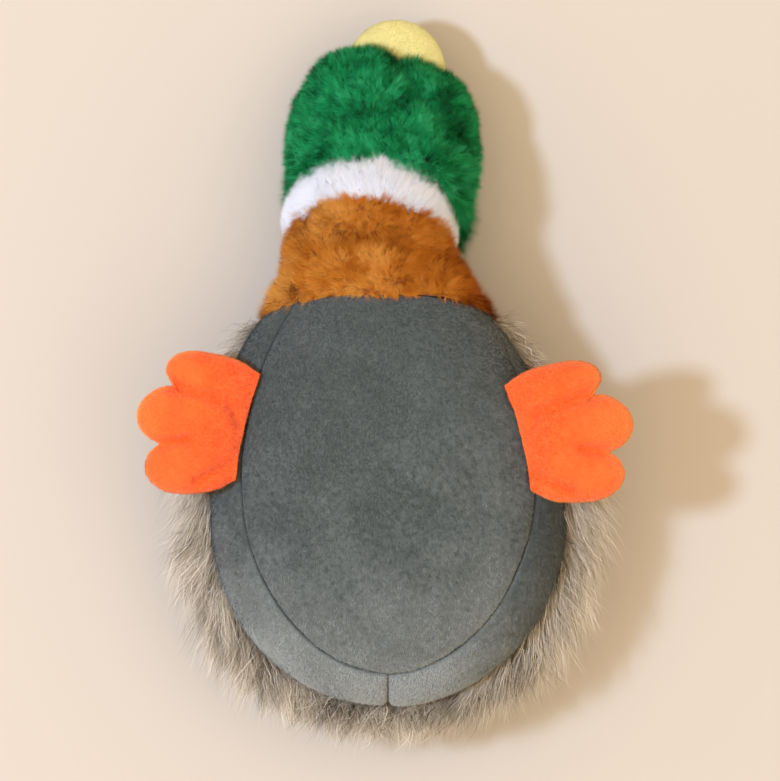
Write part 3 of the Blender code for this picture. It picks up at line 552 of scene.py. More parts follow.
def foot_plan(across, ring):
    """The plan of a pad: round by bearing, and out to the edge by ring."""
    turn = 2 * np.pi * across
    reach = np.interp(turn, (bearing % (2 * np.pi))[order], REACH[order], period=2 * np.pi)
    ray = np.stack((np.cos(turn), np.sin(turn)), -1)
    return PAD_CENTRE + ray * (reach * ring)[:, None]


def foot_wrap(hand, root, splay):
    flat = np.array((hand * math.cos(splay), math.sin(splay), 0))
    along_root = np.array((-hand * math.sin(splay), math.cos(splay), 0))
    out = flat * math.cos(FOOT_RISE) + np.array((0, 0, math.sin(FOOT_RISE)))
    square = np.array((0, 0, math.cos(FOOT_RISE))) - flat * math.sin(FOOT_RISE)

    def wrap(across, along):
        level = 2 * along - 1
        ring = 1 - np.abs(level) ** 1.6
        plan = foot_plan(across, ring)
        gap = gap_to(plan, FREE_EDGE) / TOE_ROUND
        swell = np.sqrt(1 - (1 - np.clip(gap, 0, 1)) ** 2)
        opened = 0.2 + 0.8 * np.sin(np.clip(plan[:, 0] / ROOT_TAPER, 0, 1) * np.pi / 2)
        crease = 1 - 0.45 * fade(gap_to(plan, FOLDS), 2.6 * MM)
        height = np.sign(level) * PAD_HALF * swell * opened * crease
        stretch = 1.0 if hand < 0 else 1.04
        base = root + out * plan[:, :1] * stretch + along_root * plan[:, 1:]
        return base + square * height[:, None]

    return wrap, (out, along_root, square)


feet = {}
for label, (hand, root, splay) in FEET.items():
    wrap, axes = foot_wrap(hand, root, splay)
    middle = root + axes[0] * PAD_CENTRE[0] + axes[1] * PAD_CENTRE[1]
    foot = cover(f"foot_{label}_skin", 240, 41, wrap, middle)
    held = root + axes[0] * OUTLINE[:, :1] + axes[1] * OUTLINE[:, 1:]
    swell(cover("foot_form", 140, 41, wrap, middle), [foot], voxel=1.8 * MM, pressure=30,
          cap=2.0 * MM, held=held, hold=1.0 * MM)
    rim_of_pad = wrap(np.linspace(0, 1, 400), np.full(400, 0.5))
    sew(foot, rim_of_pad, 0.0, 1.5 * MM, pucker=0.15 * MM, lump=0.45 * MM, seed=30 + hand)
    feet[label] = foot
print("feet made, each", len(feet["left"].data.polygons), "faces")

# %% [markdown]
# Every pile here is real geometry: a fibre is a thin tapered ribbon that leaves
# the cloth, leans the way it was combed and bends towards its tip. Fibres near
# each other join into tufts, which is what makes plush read as plush. A ribbon
# costs one to five triangles, far less than a tube. Each carries a shade across
# its UV map and runs from root to tip up it, so one finish can colour them all.

# %% Helpers that scatter and grow fibres
def scatter(obj, count, seed, mark=None):
    """Random places on a mesh, spread evenly by area, and the normals there. With
    the name of an attribute, its values there come too."""
    rng = np.random.default_rng(seed)
    count = int(count * (1))
    mesh = obj.data
    mesh.calc_loop_triangles()
    corners = np.empty(len(mesh.loop_triangles) * 3, int)
    mesh.loop_triangles.foreach_get("vertices", corners)
    corners = corners.reshape(-1, 3)
    points, normals = points_of(obj), normals_of(obj)
    a, b, c = (points[corners[:, each]] for each in range(3))
    area = np.linalg.norm(np.cross(b - a, c - a), axis=1)
    pick = rng.choice(len(area), size=count, p=area / area.sum())
    first, second = rng.random((2, count))
    fold = first + second > 1
    first[fold], second[fold] = 1 - first[fold], 1 - second[fold]
    weights = np.stack((1 - first - second, first, second), -1)[:, :, None]
    spots = (points[corners[pick]] * weights).sum(1)
    normals = unit((normals[corners[pick]] * weights).sum(1))
    if mark is None:
        return spots, normals
    values = np.empty(len(points), np.float32)
    mesh.attributes[mark].data.foreach_get("value", values)
    return spots, normals, (values[corners[pick]] * weights[..., 0]).sum(1)


def tufts(roots, size, seed):
    """For each fibre, the fibre at the heart of its tuft."""
    rng = np.random.default_rng(seed)
    box = np.ptp(roots, axis=0)
    area = 2 * (box[0] * box[1] + box[1] * box[2] + box[2] * box[0])
    hearts = rng.choice(len(roots), size=min(len(roots), int(area / size**2) + 1), replace=False)
    tree = search_tree(roots[hearts])
    return hearts[[tree.find(root)[1] for root in roots]]


def grow(name, roots, normals, comb, length, width, shade, rows=1, lift=0.55, bend=0.3, stray=0.22,
         tuft=2 * MM, pull=0.5, whirl=0.0, wave=0.0, fleck=0.1, droop=0.0, soft_up=0.15, shortest=0.7,
         seed=1):
    """Fibres as tapered ribbons, each of rows pairs of points and a tip."""
    rng = np.random.default_rng(seed)
    count = len(roots)
    comb = unit(comb - normals * np.sum(comb * normals, 1, keepdims=True))
    heart = tufts(roots, tuft, seed + 1)
    ruffle = whirl * rng.normal(size=(count, 3))[heart]
    lean = comb * (1 - lift) + ruffle - normals * np.sum(ruffle * normals, 1, keepdims=True)
    start = unit(normals * lift + lean + stray * rng.normal(size=(count, 3)))
    down = np.array((0, 0, -droop))
    end = unit(start + comb * bend + down + 0.5 * stray * rng.normal(size=(count, 3)))
    long = length * (shortest + (1.2 - shortest) * rng.random(count))[:, None] * np.ones((count, 1))
    tip = roots + long * (start + end) / 2
    drawn = (tip[heart] - tip) * (pull * (0.6 + 0.4 * rng.random(count)))[:, None]
    across = unit(np.cross(start, normals) + 0.35 * rng.normal(size=(count, 3)))
    facing = normals * (1 - np.abs(soft_up)) + soft_up * np.array((0, 0, 1.0)) + 0.3 * start
    flip = np.sign(np.sum(np.cross(across, start + end) * facing, 1))
    across *= np.where(flip == 0, 1, flip)[:, None]
    wide = width * 1 * (0.75 + 0.5 * rng.random(count))[:, None]
    levels = np.linspace(0, 1, rows + 1)
    per = 2 * rows + 1
    phase = 2 * np.pi * rng.random(count)[heart][:, None] + 0.5 * rng.normal(size=(count, 1))
    body = np.empty((count, per, 3))
    for row, level in enumerate(levels):
        spine = roots + long * (start * level + (end - start) * level**2 / 2) + drawn * level**1.5
        spine += across * wave * level * np.sin(phase + 4.5 * level)
        half = across * wide * (1 - 0.35 * level) / 2
        if row < rows:
            body[:, 2 * row] = spine - half
            body[:, 2 * row + 1] = spine + half
    body[:, -1] = spine
    low = 0.1 * MM + 0.25 * MM * rng.random((count, 1))
    body[:, :, 2] = np.maximum(body[:, :, 2], low)
    faces = []
    for row in range(rows - 1):
        a, b, c, d = 2 * row, 2 * row + 1, 2 * row + 3, 2 * row + 2
        faces += [(a, b, c), (a, c, d)]
    faces.append((2 * rows - 2, 2 * rows - 1, 2 * rows))
    faces = np.array(faces)
    corners = (np.arange(count)[:, None, None] * per + faces[None]).ravel()
    mesh = bpy.data.meshes.new(name)
    mesh.vertices.add(count * per)
    mesh.vertices.foreach_set("co", body.ravel())
    mesh.loops.add(len(corners))
    mesh.loops.foreach_set("vertex_index", corners)
    mesh.polygons.add(len(corners) // 3)
    mesh.polygons.foreach_set("loop_start", np.arange(0, len(corners), 3))
    mesh.update(calc_edges=True)
    shade = shade + fleck * (rng.normal(size=count) + rng.normal(size=count)[heart])
    shade = np.clip(shade, 0.02, 0.96)
    step = np.arange(per)
    across_map = shade[:, None] + np.where(step == per - 1, 0.01, 0.02 * (step % 2))
    along_map = np.tile(levels[step // 2], count)
    chart = mesh.uv_layers.new(name="OFBake")
    flat = np.stack((across_map.ravel()[corners], along_map[corners]), -1)
    chart.data.foreach_set("uv", flat.ravel())
    soft = unit(facing[:, None] + 0.18 * rng.normal(size=(count, per, 3)))
    mesh.polygons.foreach_set("use_smooth", np.ones(len(corners) // 3, bool))
    mesh.normals_split_custom_set_from_vertices(soft.reshape(-1, 3))
    obj = bpy.data.objects.new(name, mesh)
    bpy.context.scene.collection.objects.link(obj)
    print(f"{name}: {count} fibres, {len(mesh.polygons)} triangles")
    return obj


# %% [markdown]
# Green head plush: about 7 mm of soft pile, brushed forwards to the beak, with
# tufts of about 2 mm. It parts over the seam down the middle, whorls a little where
# a hand has rubbed it, and hangs over the collar beside both cheeks, most on the
# right. It is left out where the beak and the eyes come through.

# %% Head pile
EYE_ROUND, EYE_AHEAD, EYE_CLEAR = math.radians(114), math.asin(14 / 39), 6.0 * MM


def head_pile(label, hand, seed):
    spots, normals = scatter(head, 390000, seed)
    side = np.sum((spots - HEAD_CENTRE) * NECK_SIDE, 1) * hand
    keep = side > 0
    local = spots - HEAD_CENTRE
    inside = np.abs(local @ BEAK_SIDE / BEAK_WIDE) ** 2.2 + np.abs(local @ BEAK_UP / BEAK_THICK) ** 2.2 < 0.9
    keep &= ~(inside & (local @ BEAK_AHEAD > 0))
    spoke = NECK_UP * math.cos(EYE_ROUND) + NECK_SIDE * hand * math.sin(EYE_ROUND)
    eye = HEAD_CENTRE + (spoke * math.cos(EYE_AHEAD) + NECK_AHEAD * math.sin(EYE_AHEAD)) * HEAD_RADIUS
    from_eye = np.linalg.norm(spots - eye, axis=1)
    keep &= from_eye > EYE_CLEAR
    spots, normals, side, from_eye = spots[keep], normals[keep], side[keep], from_eye[keep]
    parting = fade(side, 7 * MM)[:, None]
    comb = NECK_AHEAD * 0.5 + 1.3 * swirls(spots, 16 * MM, seed + 40)
    comb += NECK_SIDE * hand * parting * 0.5
    comb += unit(spots - eye) * fade(from_eye, 9 * MM)[:, None]
    hang = (hangs_over(spots) if hand > 0 else 0.6 * hangs_over(spots, -1, 1.5))[:, None]
    comb -= NECK_AHEAD * 4 * hang
    tone = 0.45 + 0.3 * lumps(spots, 5 * MM, seed + 50) + 0.14 * lumps(spots, 20 * MM, seed + 51)
    # Painted shade: the plush is darker along the valleys of the head, where shade falls in the dents.
    tone -= 0.4 * fade(from_valleys(spots), 5 * MM)
    long = np.clip(from_eye / (16 * MM), 0.35, 1)[:, None] * 7.2 * MM * (1 + 1.0 * hang)
    return grow(f"head_pile_{label}", spots, normals, comb, long, 0.15 * MM, tone, lift=0.68 - 0.3 * hang,
                tuft=2.1 * MM, pull=0.56, whirl=0.4, fleck=0.15, shortest=0.6, seed=seed)


head_piles = [head_pile("right", 1, 61), head_pile("left", -1, 62)]

# %% [markdown]
# White collar plush and brown chest plush are the same cloth in other colours.
# Both are brushed towards the head, but on the left the white pile stands up and the
# brown lies back. The brown pile hides its seam to the belly and spreads at the
# seam's two ends. A pale tuft sits under the throat, where the fold parts the pile.

# %% Collar and chest pile
spots, normals = scatter(collar, 130000, 71)
left = on_side(spots, -1, 1.5)[:, None]
comb = NECK_AHEAD * (1 - 1.1 * left) + 0.5 * swirls(spots, 12 * MM, 1)
tone = 0.55 + 0.25 * lumps(spots, 7 * MM, 72)
short = 0.5 * on_side(spots, 1, 4)[:, None] + 0.15 * left
collar_pile = grow("collar_pile", spots, normals, comb, 6.3 * MM * (1 - short), 0.16 * MM, tone,
                   lift=0.55 + 0.2 * left, stray=0.2, pull=0.48, whirl=0.2, soft_up=0.5, seed=73)
spots, normals = scatter(chest, 190000, 81)
at_seam = fade(gap_to(spots, CHEST_SEAM), 5 * MM)[:, None]
ends = at_seam * (np.abs(spots[:, :1] - CHEST_AT[0]) / CHEST_WIDE).clip(0, 1) ** 4
at_collar = (fade((spots - NECK_AT) @ NECK_AHEAD, 8 * MM) * on_side(spots, -1, 2))[:, None]
comb = NECK_AHEAD * (0.8 - 0.9 * at_seam - 2.0 * ends - 1.8 * at_collar)
comb += (1.2 - 0.7 * at_seam) * swirls(spots, 14 * MM, 4)
tone = 0.52 + 0.22 * lumps(spots, 5 * MM, 82) + 0.2 * lumps(spots, 20 * MM, 83)
tone += 0.5 * ends[:, 0] * (np.arange(len(spots)) % 4 == 0)
# Painted shade: the pile is darker along the throat fold, where shade falls in the crease.
tone -= 0.3 * fade(gap_to(spots, THROAT), 4 * MM)
tuft_at = (spots[:, 0] + 4.1 * MM) / (2.6 * MM), (spots[:, 1] - 100 * MM) / (8 * MM)
tone += 0.3 * np.exp(-(tuft_at[0] ** 2) - tuft_at[1] ** 2)
# Painted light and shade: the brown is lighter on the left, towards the lamp, and darker on the right, away
# from it.
tone += np.interp((spots[:, 0] - CHEST_AT[0]) / MM, (-40, 0, 40), (0.18, 0.03, -0.28))
chest_pile = grow("chest_pile", spots, normals, comb, 7.2 * MM * (1 - 0.2 * at_seam + 0.6 * ends),
                  0.14 * MM, tone, lift=0.62, tuft=2.5 * MM, pull=0.42, whirl=0.3, shortest=0.6, seed=84)

# %% [markdown]
# The back is long faux fur, 20 to 38 mm, which lies down from head to tail. It
# springs outwards at its root and then turns to lie along the rim, which makes the
# soft fringe. Long locks need more bend, so these ribbons have three pairs of points
# and a tip, and a slow wave, and each ninth is a thicker, paler guard hair. Most
# roots stand near the side seam, and under the toy the fur is pressed flat. It is
# cut into four pieces, each under 200,000 triangles.

# %% Back fur
MOST_LOCKS = 39500


def back_fur(label, first, last, seed):
    spots, normals = scatter(back, 240000, seed)
    side = np.arctan2(spots[:, 0], -(spots[:, 2] - SIDE_Z))
    keep = (side >= first) & (side < last)
    spots, normals = spots[keep], normals[keep]
    keep = (gap_to(spots, SIDE_SEAM) < 14 * MM) | (np.arange(len(spots)) % 9 < 4)
    spots, normals = spots[keep][:MOST_LOCKS], normals[keep][:MOST_LOCKS]
    under = np.clip(-normals[:, 2], 0, 1)[:, None]
    outward = unit(normals * (1, 1, 0) + 1e-6)
    at_seam = fade(gap_to(spots, SIDE_SEAM), 8 * MM)[:, None]
    normals = unit(normals + at_seam * (0, 0, 0.7))
    comb = np.array((0, -1.0, 0)) + outward * 0.25 * (1 - under)
    comb = comb + 0.45 * swirls(spots, 22 * MM, seed + 1)
    tone = 0.42 + 0.3 * lumps(spots, 5 * MM, seed + 4) + 0.12 * lumps(spots, 30 * MM, seed + 5)
    y = spots[:, 1] / MM
    # Painted shade: the fur is darker towards the shoulders, standing in for the shade that falls there.
    tone -= np.interp(y, (15, 40), (0, 0.26))
    tone += np.interp(y, (-80, -40), (-0.1, 0.08)) * (1 - under[:, 0])
    guard = (np.arange(len(spots)) % 9 == 0)[:, None]
    tone += 0.22 * guard[:, 0]
    by_place = np.interp(y, (-90, -50, 15, 45, 80), (27, 38, 38, 27, 20))[:, None] * MM
    long = by_place * (1 - 0.4 * under**2)
    lift = np.interp(y, (-90, -60, 10, 40, 80), (0.38, 0.5, 0.5, 0.48, 0.4))[:, None] * (1 - 0.4 * under)
    whirl = np.interp(y, (-90, -60), (0.42, 0.26))[:, None]
    return grow(f"back_fur_{label}", spots, normals, comb, long, 0.15 * MM * (1 + 1.1 * guard), tone,
                rows=3, lift=lift, bend=1.8, tuft=5 * MM, pull=0.66, whirl=whirl, wave=3.8 * MM,
                fleck=0.24, droop=0.16, soft_up=0.7, shortest=0.4, seed=seed)


back_furs = [
    back_fur("left", -math.pi, -0.95, 91),
    back_fur("under_left", -0.95, 0.0, 92),
    back_fur("under_right", 0.0, 0.95, 93),
    back_fur("right", 0.95, math.pi, 94),
]

# %% [markdown]
# Velboa and fleece are short piles. They read as a dull, finely speckled skin, so
# a nap of one-triangle fibres is enough to break up the light and soften the
# outline. It is short or missing in the grooves of the seams, and the cloth there is
# painted dark as the shade in the groove, so the seams read as thin dark lines.

# %% Short nap on belly, rims, beak and feet
def nap(name, obj, count, length, comb, tone, seed, width=0.16 * MM, sewn=False):
    if sewn:
        spots, normals, gap = scatter(obj, count, seed, "seam_gap")
        spots, normals, gap = spots[gap > 0.45], normals[gap > 0.45], gap[gap > 0.45]
        length = length * np.clip(gap / 2.0, 0.4, 1)[:, None]
    else:
        spots, normals = scatter(obj, count, seed)
    comb = np.array(comb) + 0.7 * swirls(spots, 22 * MM, seed + 1)
    soft_up = 0.5 * np.where(normals[:, 2:] > -0.2, 1, -1)
    return grow(name, spots, normals, comb, length, width, tone(spots), stray=0.25, tuft=2.2 * MM,
                pull=0.1, fleck=0.035, soft_up=soft_up, seed=seed)


def grey_tone_and_painted_light(spots):
    speckle = 0.07 * lumps(spots, 2.2 * MM, 101) + 0.06 * lumps(spots, 16 * MM, 102)
    # Painted sheen: the grey gets lighter towards the tail, where the velboa catches light at a grazing
    # angle. It also gets a little lighter to the right and darker towards the chest.
    y = np.clip((-spots[:, 1] - 10 * MM) / (80 * MM), 0, 1)
    tone = speckle + 0.45 + 0.38 * y + 0.08 * np.clip(spots[:, 0] / (50 * MM), 0, 1)
    tone -= 0.08 * np.clip((spots[:, 1] - 10 * MM) / (50 * MM), 0, 1)
    spot = np.abs(spots[:, 0]) / OVAL_WIDE, np.abs(spots[:, 1] - OVAL_Y) / OVAL_TAIL
    on_rim = (spot[0] ** OVAL_POWER + spot[1] ** OVAL_POWER > 1) & (spots[:, 1] < OVAL_Y)
    # Painted sheen and shade on the rims: lighter towards the tail, and darker on the right side, away from
    # the lamp.
    painted_shade_right = np.clip((spots[:, 0] - 15 * MM) / (45 * MM), 0, 1)
    return tone + on_rim * (0.22 * y * (1 - painted_shade_right) - 0.2 * painted_shade_right)


def plain_tone(spots):
    return 0.5 + 0.06 * lumps(spots, 3 * MM, 103) + 0.12 * lumps(spots, 18 * MM, 104)


def toe_tone_with_painted_light(spots):
    """Orange fleece tone with painted light: painted shade at a foot's root and in its folds, and painted
    light towards its toes and along its free edge.
    """
    hand, root, splay = FEET["right" if spots[:, 0].mean() > 0 else "left"]
    flat = (spots - root)[:, :2]
    out = flat @ (hand * math.cos(splay), math.sin(splay))
    along_root = flat @ (-hand * math.sin(splay), math.cos(splay))
    flat = np.stack((out, along_root), -1)
    # Painted shade in the folds, and painted light along the free edge where light shines through the nap.
    painted_fold_shade = fade(gap_to(flat, FOLDS), 2.2 * MM)
    painted_edge_light = fade(gap_to(flat, FREE_EDGE), 1.6 * MM)
    base, rise = (0.1, 0.62) if hand < 0 else (0.34, 0.46)
    # Darker at the root, where the pad dips into shade, and lighter towards the toes: painted shade and
    # light.
    tone = base + 0.14 * lumps(spots, 14 * MM, 104) + rise * np.clip(out / (48 * MM), 0, 1) ** 0.7
    return tone - 0.16 * painted_fold_shade + 0.34 * painted_edge_light


VELBOA = {"length": 1.5 * MM, "comb": (0, -1, 0), "tone": grey_tone_and_painted_light, "width": 0.2 * MM, "sewn": True}
belly_nap = nap("belly_nap", belly, 150000, seed=111, **VELBOA)
rim_naps = {each: nap(f"rim_{each}_nap", rim, 55000, seed=112, **VELBOA) for each, rim in rims.items()}
beak_nap = nap("beak_nap", beak, 40000, 0.6 * MM, BEAK_AHEAD, plain_tone, 113)
foot_naps = {each: nap(f"foot_{each}_nap", foot, 60000, 0.9 * MM, (FEET[each][0], 0, 0), toe_tone_with_painted_light, 114)
             for each, foot in feet.items()}

# %% [markdown]
# The fibres stand on the outer cloth, and now most skins get a thickness, inwards.
# The grey cloth keeps the tone of its nap, painted sheen and shade included, as an
# attribute, so the ground between the fibres has the same tone as they have. The beak only gets finer faces.

# %% Thicken the skins
for skin in (belly, *rims.values()):
    mark = skin.data.attributes.new("nap_tone_with_painted_light", "FLOAT", "POINT")
    mark.data.foreach_set("value", grey_tone_and_painted_light(points_of(skin)).astype(np.float32))
for skin in (belly, rims["right"], rims["left"], back, chest, collar, head):
    apply(skin, "SOLIDIFY", thickness=1.2 * MM, offset=-1)
    print(f"{skin.name}: {len(skin.data.polygons)} faces")
apply(beak, "SUBSURF", levels=1, render_levels=1)

# %% [markdown]
# Hex colours are picked as the eye sees them on a screen, and one function turns
# them to the linear values that the renderer adds light with.

# %% Finish helpers
def linear(hex_colour):
    values = [int(hex_colour[at : at + 2], 16) / 255 for at in (1, 3, 5)]
    return [v / 12.92 if v <= 0.04045 else ((v + 0.055) / 1.055) ** 2.4 for v in values] + [1.0]


def add(tree, kind, links=None, inputs=None, **settings):
    """Add a node, set its properties and input values, and link its inputs."""
    node = tree.nodes.new(kind)
    for key, value in settings.items():
        setattr(node, key, value)
    for key, value in (inputs or {}).items():
        node.inputs[key].default_value = value
    for key, source in (links or {}).items():
        tree.links.new(source, node.inputs[key])
    return node


def finish(name, **shader_values):
    made = bpy.data.materials.new(name)
    made.use_nodes = True
    shader = made.node_tree.nodes["Principled BSDF"]
    for key, value in shader_values.items():
        shader.inputs[key.replace("_", " ")].default_value = value
    return made, made.node_tree, shader


def ramp(tree, source, stops):
    node = add(tree, "ShaderNodeValToRGB", {"Fac": source})
    while len(node.color_ramp.elements) < len(stops):
        node.color_ramp.elements.new(0.5)
    for element, (place_at, colour) in zip(node.color_ramp.elements, stops):
        element.position = place_at
        element.color = linear(colour)
    return node.outputs["Color"]


def fibre_finish(name, dark, middle, light, root, root_shade_reach=0.35, sheen=0.0):
    """Fibres coloured by a shade across the map, with painted shade darkening them towards the root."""
    made, tree, shader = finish(name, Roughness=0.85, Specular_IOR_Level=0.2, Sheen_Weight=sheen)
    chart = add(tree, "ShaderNodeUVMap", uv_map="OFBake")
    parts = add(tree, "ShaderNodeSeparateXYZ", {"Vector": chart.outputs["UV"]})
    shade = ramp(tree, parts.outputs["X"], ((0.0, dark), (0.45, middle), (1.0, light)))
    # Painted shade: the colour darkens to the root colour near the cloth.
    depth = ramp(tree, parts.outputs["Y"], ((0.0, "#000000"), (root_shade_reach, "#FFFFFF")))
    mix = add(tree, "ShaderNodeMix", {"Factor": depth, "B": shade}, data_type="RGBA")
    mix.inputs["A"].default_value = linear(root)
    tree.links.new(mix.outputs["Result"], shader.inputs["Base Color"])
    return made


# %% [markdown]
# Each plush is dyed polyester and matt. Painted shade darkens every fibre towards
# its root, for the partings between the fibres, so only the tips show the full colour.

# %% Pile finishes
GREEN = fibre_finish("green_plush_pile", "#045228", "#0CA45A", "#4ACC8A", "#04481F")
BROWN = fibre_finish("brown_plush_pile", "#984806", "#CE7614", "#F2AE50", "#8A4408")
WHITE = fibre_finish("white_plush_pile", "#EEF2FA", "#F8FBFF", "#FFFFFF", "#E8ECF6")
BEIGE = fibre_finish("beige_long_fur", "#645C4C", "#C0B5A0", "#F4EAD6", "#5C5446", root_shade_reach=0.3)
GREY = fibre_finish("grey_velboa_nap", "#363D3A", "#4E5754", "#AEB6B4", "#3A403E", root_shade_reach=0.12, sheen=0.1)
YELLOW = fibre_finish("yellow_fleece_nap", "#D0CA82", "#D8D28A", "#E8E4A0", "#CCC67C", root_shade_reach=0.12)
ORANGE = fibre_finish("orange_fleece_nap", "#D03A06", "#F05C14", "#FFA24A", "#E45812", root_shade_reach=0.12)


def cloth_finish(name, low, high, weave=0.8 * MM, painted_seam_shade=None):
    """A dull backing cloth, mottled by noise, with a fine knitted bump. Given a seam colour, it takes the
    nap's tone and is painted dark as shade in the seam grooves.
    """
    made, tree, shader = finish(name, Roughness=0.92, Sheen_Weight=0.3, Sheen_Roughness=0.6)
    place_on = add(tree, "ShaderNodeTexCoord").outputs["Object"]
    mottle = add(tree, "ShaderNodeTexNoise", {"Vector": place_on}, {"Scale": 120.0, "Detail": 6.0})
    if not painted_seam_shade:
        tone = ramp(tree, mottle.outputs["Fac"], ((0.3, low), (0.7, high)))
    else:
        nap_tone_with_painted_light = add(tree, "ShaderNodeAttribute", attribute_name="nap_tone_with_painted_light").outputs["Fac"]
        mixed = add(tree, "ShaderNodeMath", {0: mottle.outputs["Fac"], 2: nap_tone_with_painted_light}, {1: 0.25},
                    operation="MULTIPLY_ADD")
        tone = ramp(tree, mixed.outputs["Value"], ((0.1, "#303634"), (0.55, low), (1.0, high)))
        # Painted shade: within about a millimetre of the stitches the cloth turns to the dark seam colour,
        # the shade in the groove.
        gap = add(tree, "ShaderNodeAttribute", attribute_name="seam_gap").outputs["Fac"]
        near = ramp(tree, gap, ((0.25, "#FFFFFF"), (1.0, "#000000")))
        mix = add(tree, "ShaderNodeMix", {"Factor": near, "A": tone}, data_type="RGBA")
        mix.inputs["B"].default_value = linear(painted_seam_shade)
        tone = mix.outputs["Result"]
    tree.links.new(tone, shader.inputs["Base Color"])
    grain = add(tree, "ShaderNodeTexNoise", {"Vector": place_on}, {"Scale": 1 / weave, "Detail": 3.0})
    bump = add(tree, "ShaderNodeBump", {"Height": grain.outputs["Fac"]},
               {"Strength": 0.35, "Distance": 0.3 * MM})
    tree.links.new(bump.outputs["Normal"], shader.inputs["Normal"])
    return made


# Painted shade: the backing cloths under the beige, brown, white and green piles are darker than their
# fibres, standing in for the shade beneath the pile.
DRESS = (
    ("grey_velboa", [belly], ("grey_velboa_cloth", "#4E5653", "#666E6B", 0.7 * MM, "#1C2220"),
     [belly_nap], GREY),
    ("grey_velboa_rim", rims.values(), ("grey_velboa_rim_cloth", "#454D4A", "#6A726F", 0.7 * MM, "#1C2220"),
     rim_naps.values(), GREY),
    ("beige_long_pile", [back], ("beige_fur_backing", "#6E685C", "#8F8778"), back_furs, BEIGE),
    ("brown_plush", [chest], ("brown_plush_backing", "#8A480C", "#A85E18"), [chest_pile], BROWN),
    ("white_plush", [collar], ("white_plush_backing", "#C4C4D2", "#DCDCE8"), [collar_pile], WHITE),
    ("green_plush", [head], ("green_plush_backing", "#053F20", "#0B5B31"), head_piles, GREEN),
    ("yellow_fleece", [beak], ("yellow_fleece_cloth", "#E2DA8C", "#EAE294", 0.7 * MM), [beak_nap], YELLOW),
    ("orange_fleece", feet.values(), ("orange_fleece_cloth", "#E85A16", "#F4681E", 0.7 * MM),
     foot_naps.values(), ORANGE),
)
for _, skins, look, piles, pile in DRESS:
    cloth = cloth_finish(*look)
    for piece in skins:
        piece.data.materials.clear()
        piece.data.materials.append(cloth)
    for piece in piles:
        piece.data.materials.append(pile)
print("finishes:", len(bpy.data.materials))

# %% [markdown]
# The safety eyes are polished black plastic, and the washers behind the cloth plain
# white plastic. Their solids are right as they are, so they only get a finish.

# %% Eyes and washers
def plastic(name, low, high, scale, detail, **shader_values):
    """Moulded plastic with a faint mottle."""
    made, tree, shader = finish(name, IOR=1.5, **shader_values)
    place_on = add(tree, "ShaderNodeTexCoord").outputs["Object"]
    mottle = add(tree, "ShaderNodeTexNoise", {"Vector": place_on}, {"Scale": scale, "Detail": detail})
    tone = ramp(tree, mottle.outputs["Fac"], ((0.3, low), (0.8, high)))
    tree.links.new(tone, shader.inputs["Base Color"])
    return made


gloss = plastic("polished_black_plastic", "#060607", "#141416", 900.0, 4.0, Roughness=0.08, Coat_Weight=0.5)
dull = plastic("white_moulded_plastic", "#D2D2CE", "#E0E0DC", 400.0, 2.0, Roughness=0.45)
for node_name, made in (("eye_left", gloss), ("eye_right", gloss),
                        ("eye_washer_left", dull), ("eye_washer_right", dull)):
    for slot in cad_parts[node_name].material_slots:
        slot.material = made
print("eyes and washers finished")

# %% [markdown]
# Each piece rides on a body, so the duck can nod, turn its head and flap its feet.
# The chest sleeve is cloth that crosses the neck joint. It rides on no body, and
# only has its place baked into its points.

# %% Ride
TORSO_PIECES = [belly, rims["left"], rims["right"], back, belly_nap, *rim_naps.values(), *back_furs]
for piece in TORSO_PIECES:
    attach(piece, "torso")
for piece in (collar, collar_pile):
    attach(piece, "neck")
for piece in (head, beak, beak_nap, *head_piles):
    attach(piece, "head")
for label in FEET:
    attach(feet[label], f"foot_{label}")
    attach(foot_naps[label], f"foot_{label}")
for piece in (chest, chest_pile):
    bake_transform(piece)

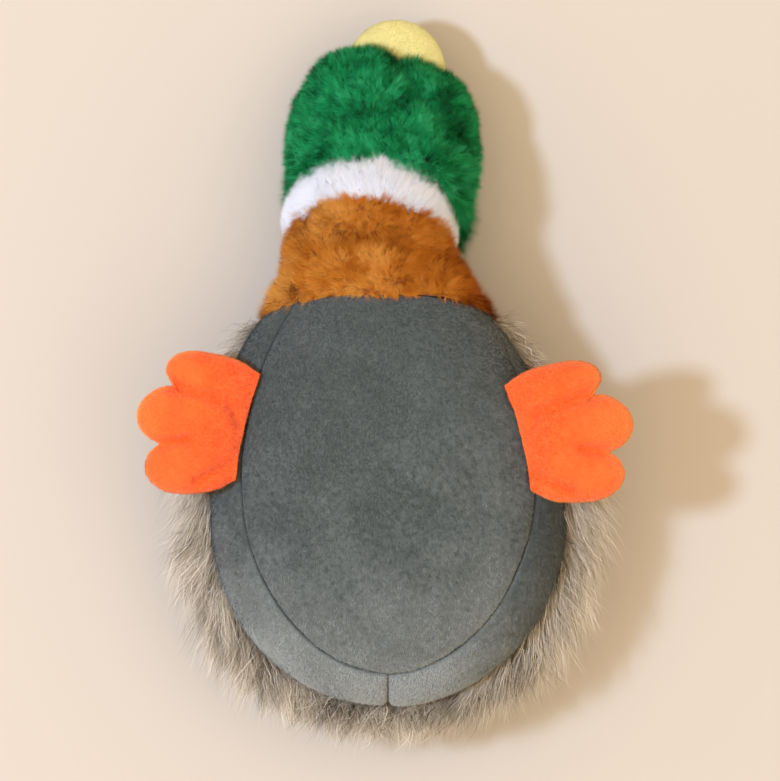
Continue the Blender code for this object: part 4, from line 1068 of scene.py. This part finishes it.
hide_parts("belly_panel", "torso_fill")
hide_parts("rim_left")
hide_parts("rim_right")
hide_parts("back_cover")
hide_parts("chest_cover")
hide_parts("collar", "neck_fill")
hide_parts("head_cover_left", "head_cover_right", "head_fill")
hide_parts("beak_lower", "beak_upper", "beak_fill")
for label in FEET:
    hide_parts(f"foot_{label}_upper", f"foot_{label}_lower", f"foot_{label}_fill")

# %% [markdown]
# The toy lies on warm pale paper. A small, bright, cool light stands high on the
# left, so a soft-edged shadow falls to the right. A wide warm light and a warm sky
# fill the rest.

# %% Floor, light and camera
deselect()
bpy.ops.mesh.primitive_plane_add(size=6, location=(0, 0, 0))
floor = bpy.context.object
floor.name = "floor"
paper, tree, shader = finish("warm_paper", Roughness=0.9)
shader.inputs["Base Color"].default_value = linear("#C6BEB0")
floor.data.materials.append(paper)


def area_light(name, at, aim, size, power, colour):
    made = bpy.data.lights.new(name, "AREA")
    made.shape, made.size, made.energy = "DISK", size, power
    made.color = linear(colour)[:3]
    obj = bpy.data.objects.new(name, made)
    bpy.context.scene.collection.objects.link(obj)
    obj.location = at
    obj.rotation_euler = (Vector(aim) - Vector(at)).to_track_quat("-Z", "Y").to_euler()


area_light("key_light", (-0.93, 0.12, 2.0), (0, 0.05, 0.04), 0.22, 36, "#C2D9FF")
area_light("fill_light", (0.2, -0.2, 2.6), (0, 0.05, 0), 2.6, 27.4, "#FFEED5")
world = bpy.data.worlds.new("studio")
world.use_nodes = True
sky = world.node_tree.nodes["Background"].inputs
sky["Color"].default_value = linear("#FFE4C6")
sky["Strength"].default_value = 0.914
bpy.context.scene.world = world

WIDTH_SHOWN, EYE_HEIGHT, LENS_LEVEL = 351 * MM, 2.8, 60 * MM
view = bpy.data.cameras.new("overhead")
view.sensor_width = 36
view.lens = 36 * (EYE_HEIGHT - LENS_LEVEL) / WIDTH_SHOWN
view.clip_start = 0.01
camera = bpy.data.objects.new("overhead", view)
bpy.context.scene.collection.objects.link(camera)
camera.location = (0.8 * MM, 49.3 * MM, EYE_HEIGHT)
bpy.context.scene.camera = camera
bpy.context.scene.view_settings.view_transform = "Standard"

# %% Measure and finish
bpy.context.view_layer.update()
print("made in", round(time.time() - STARTED), "seconds")
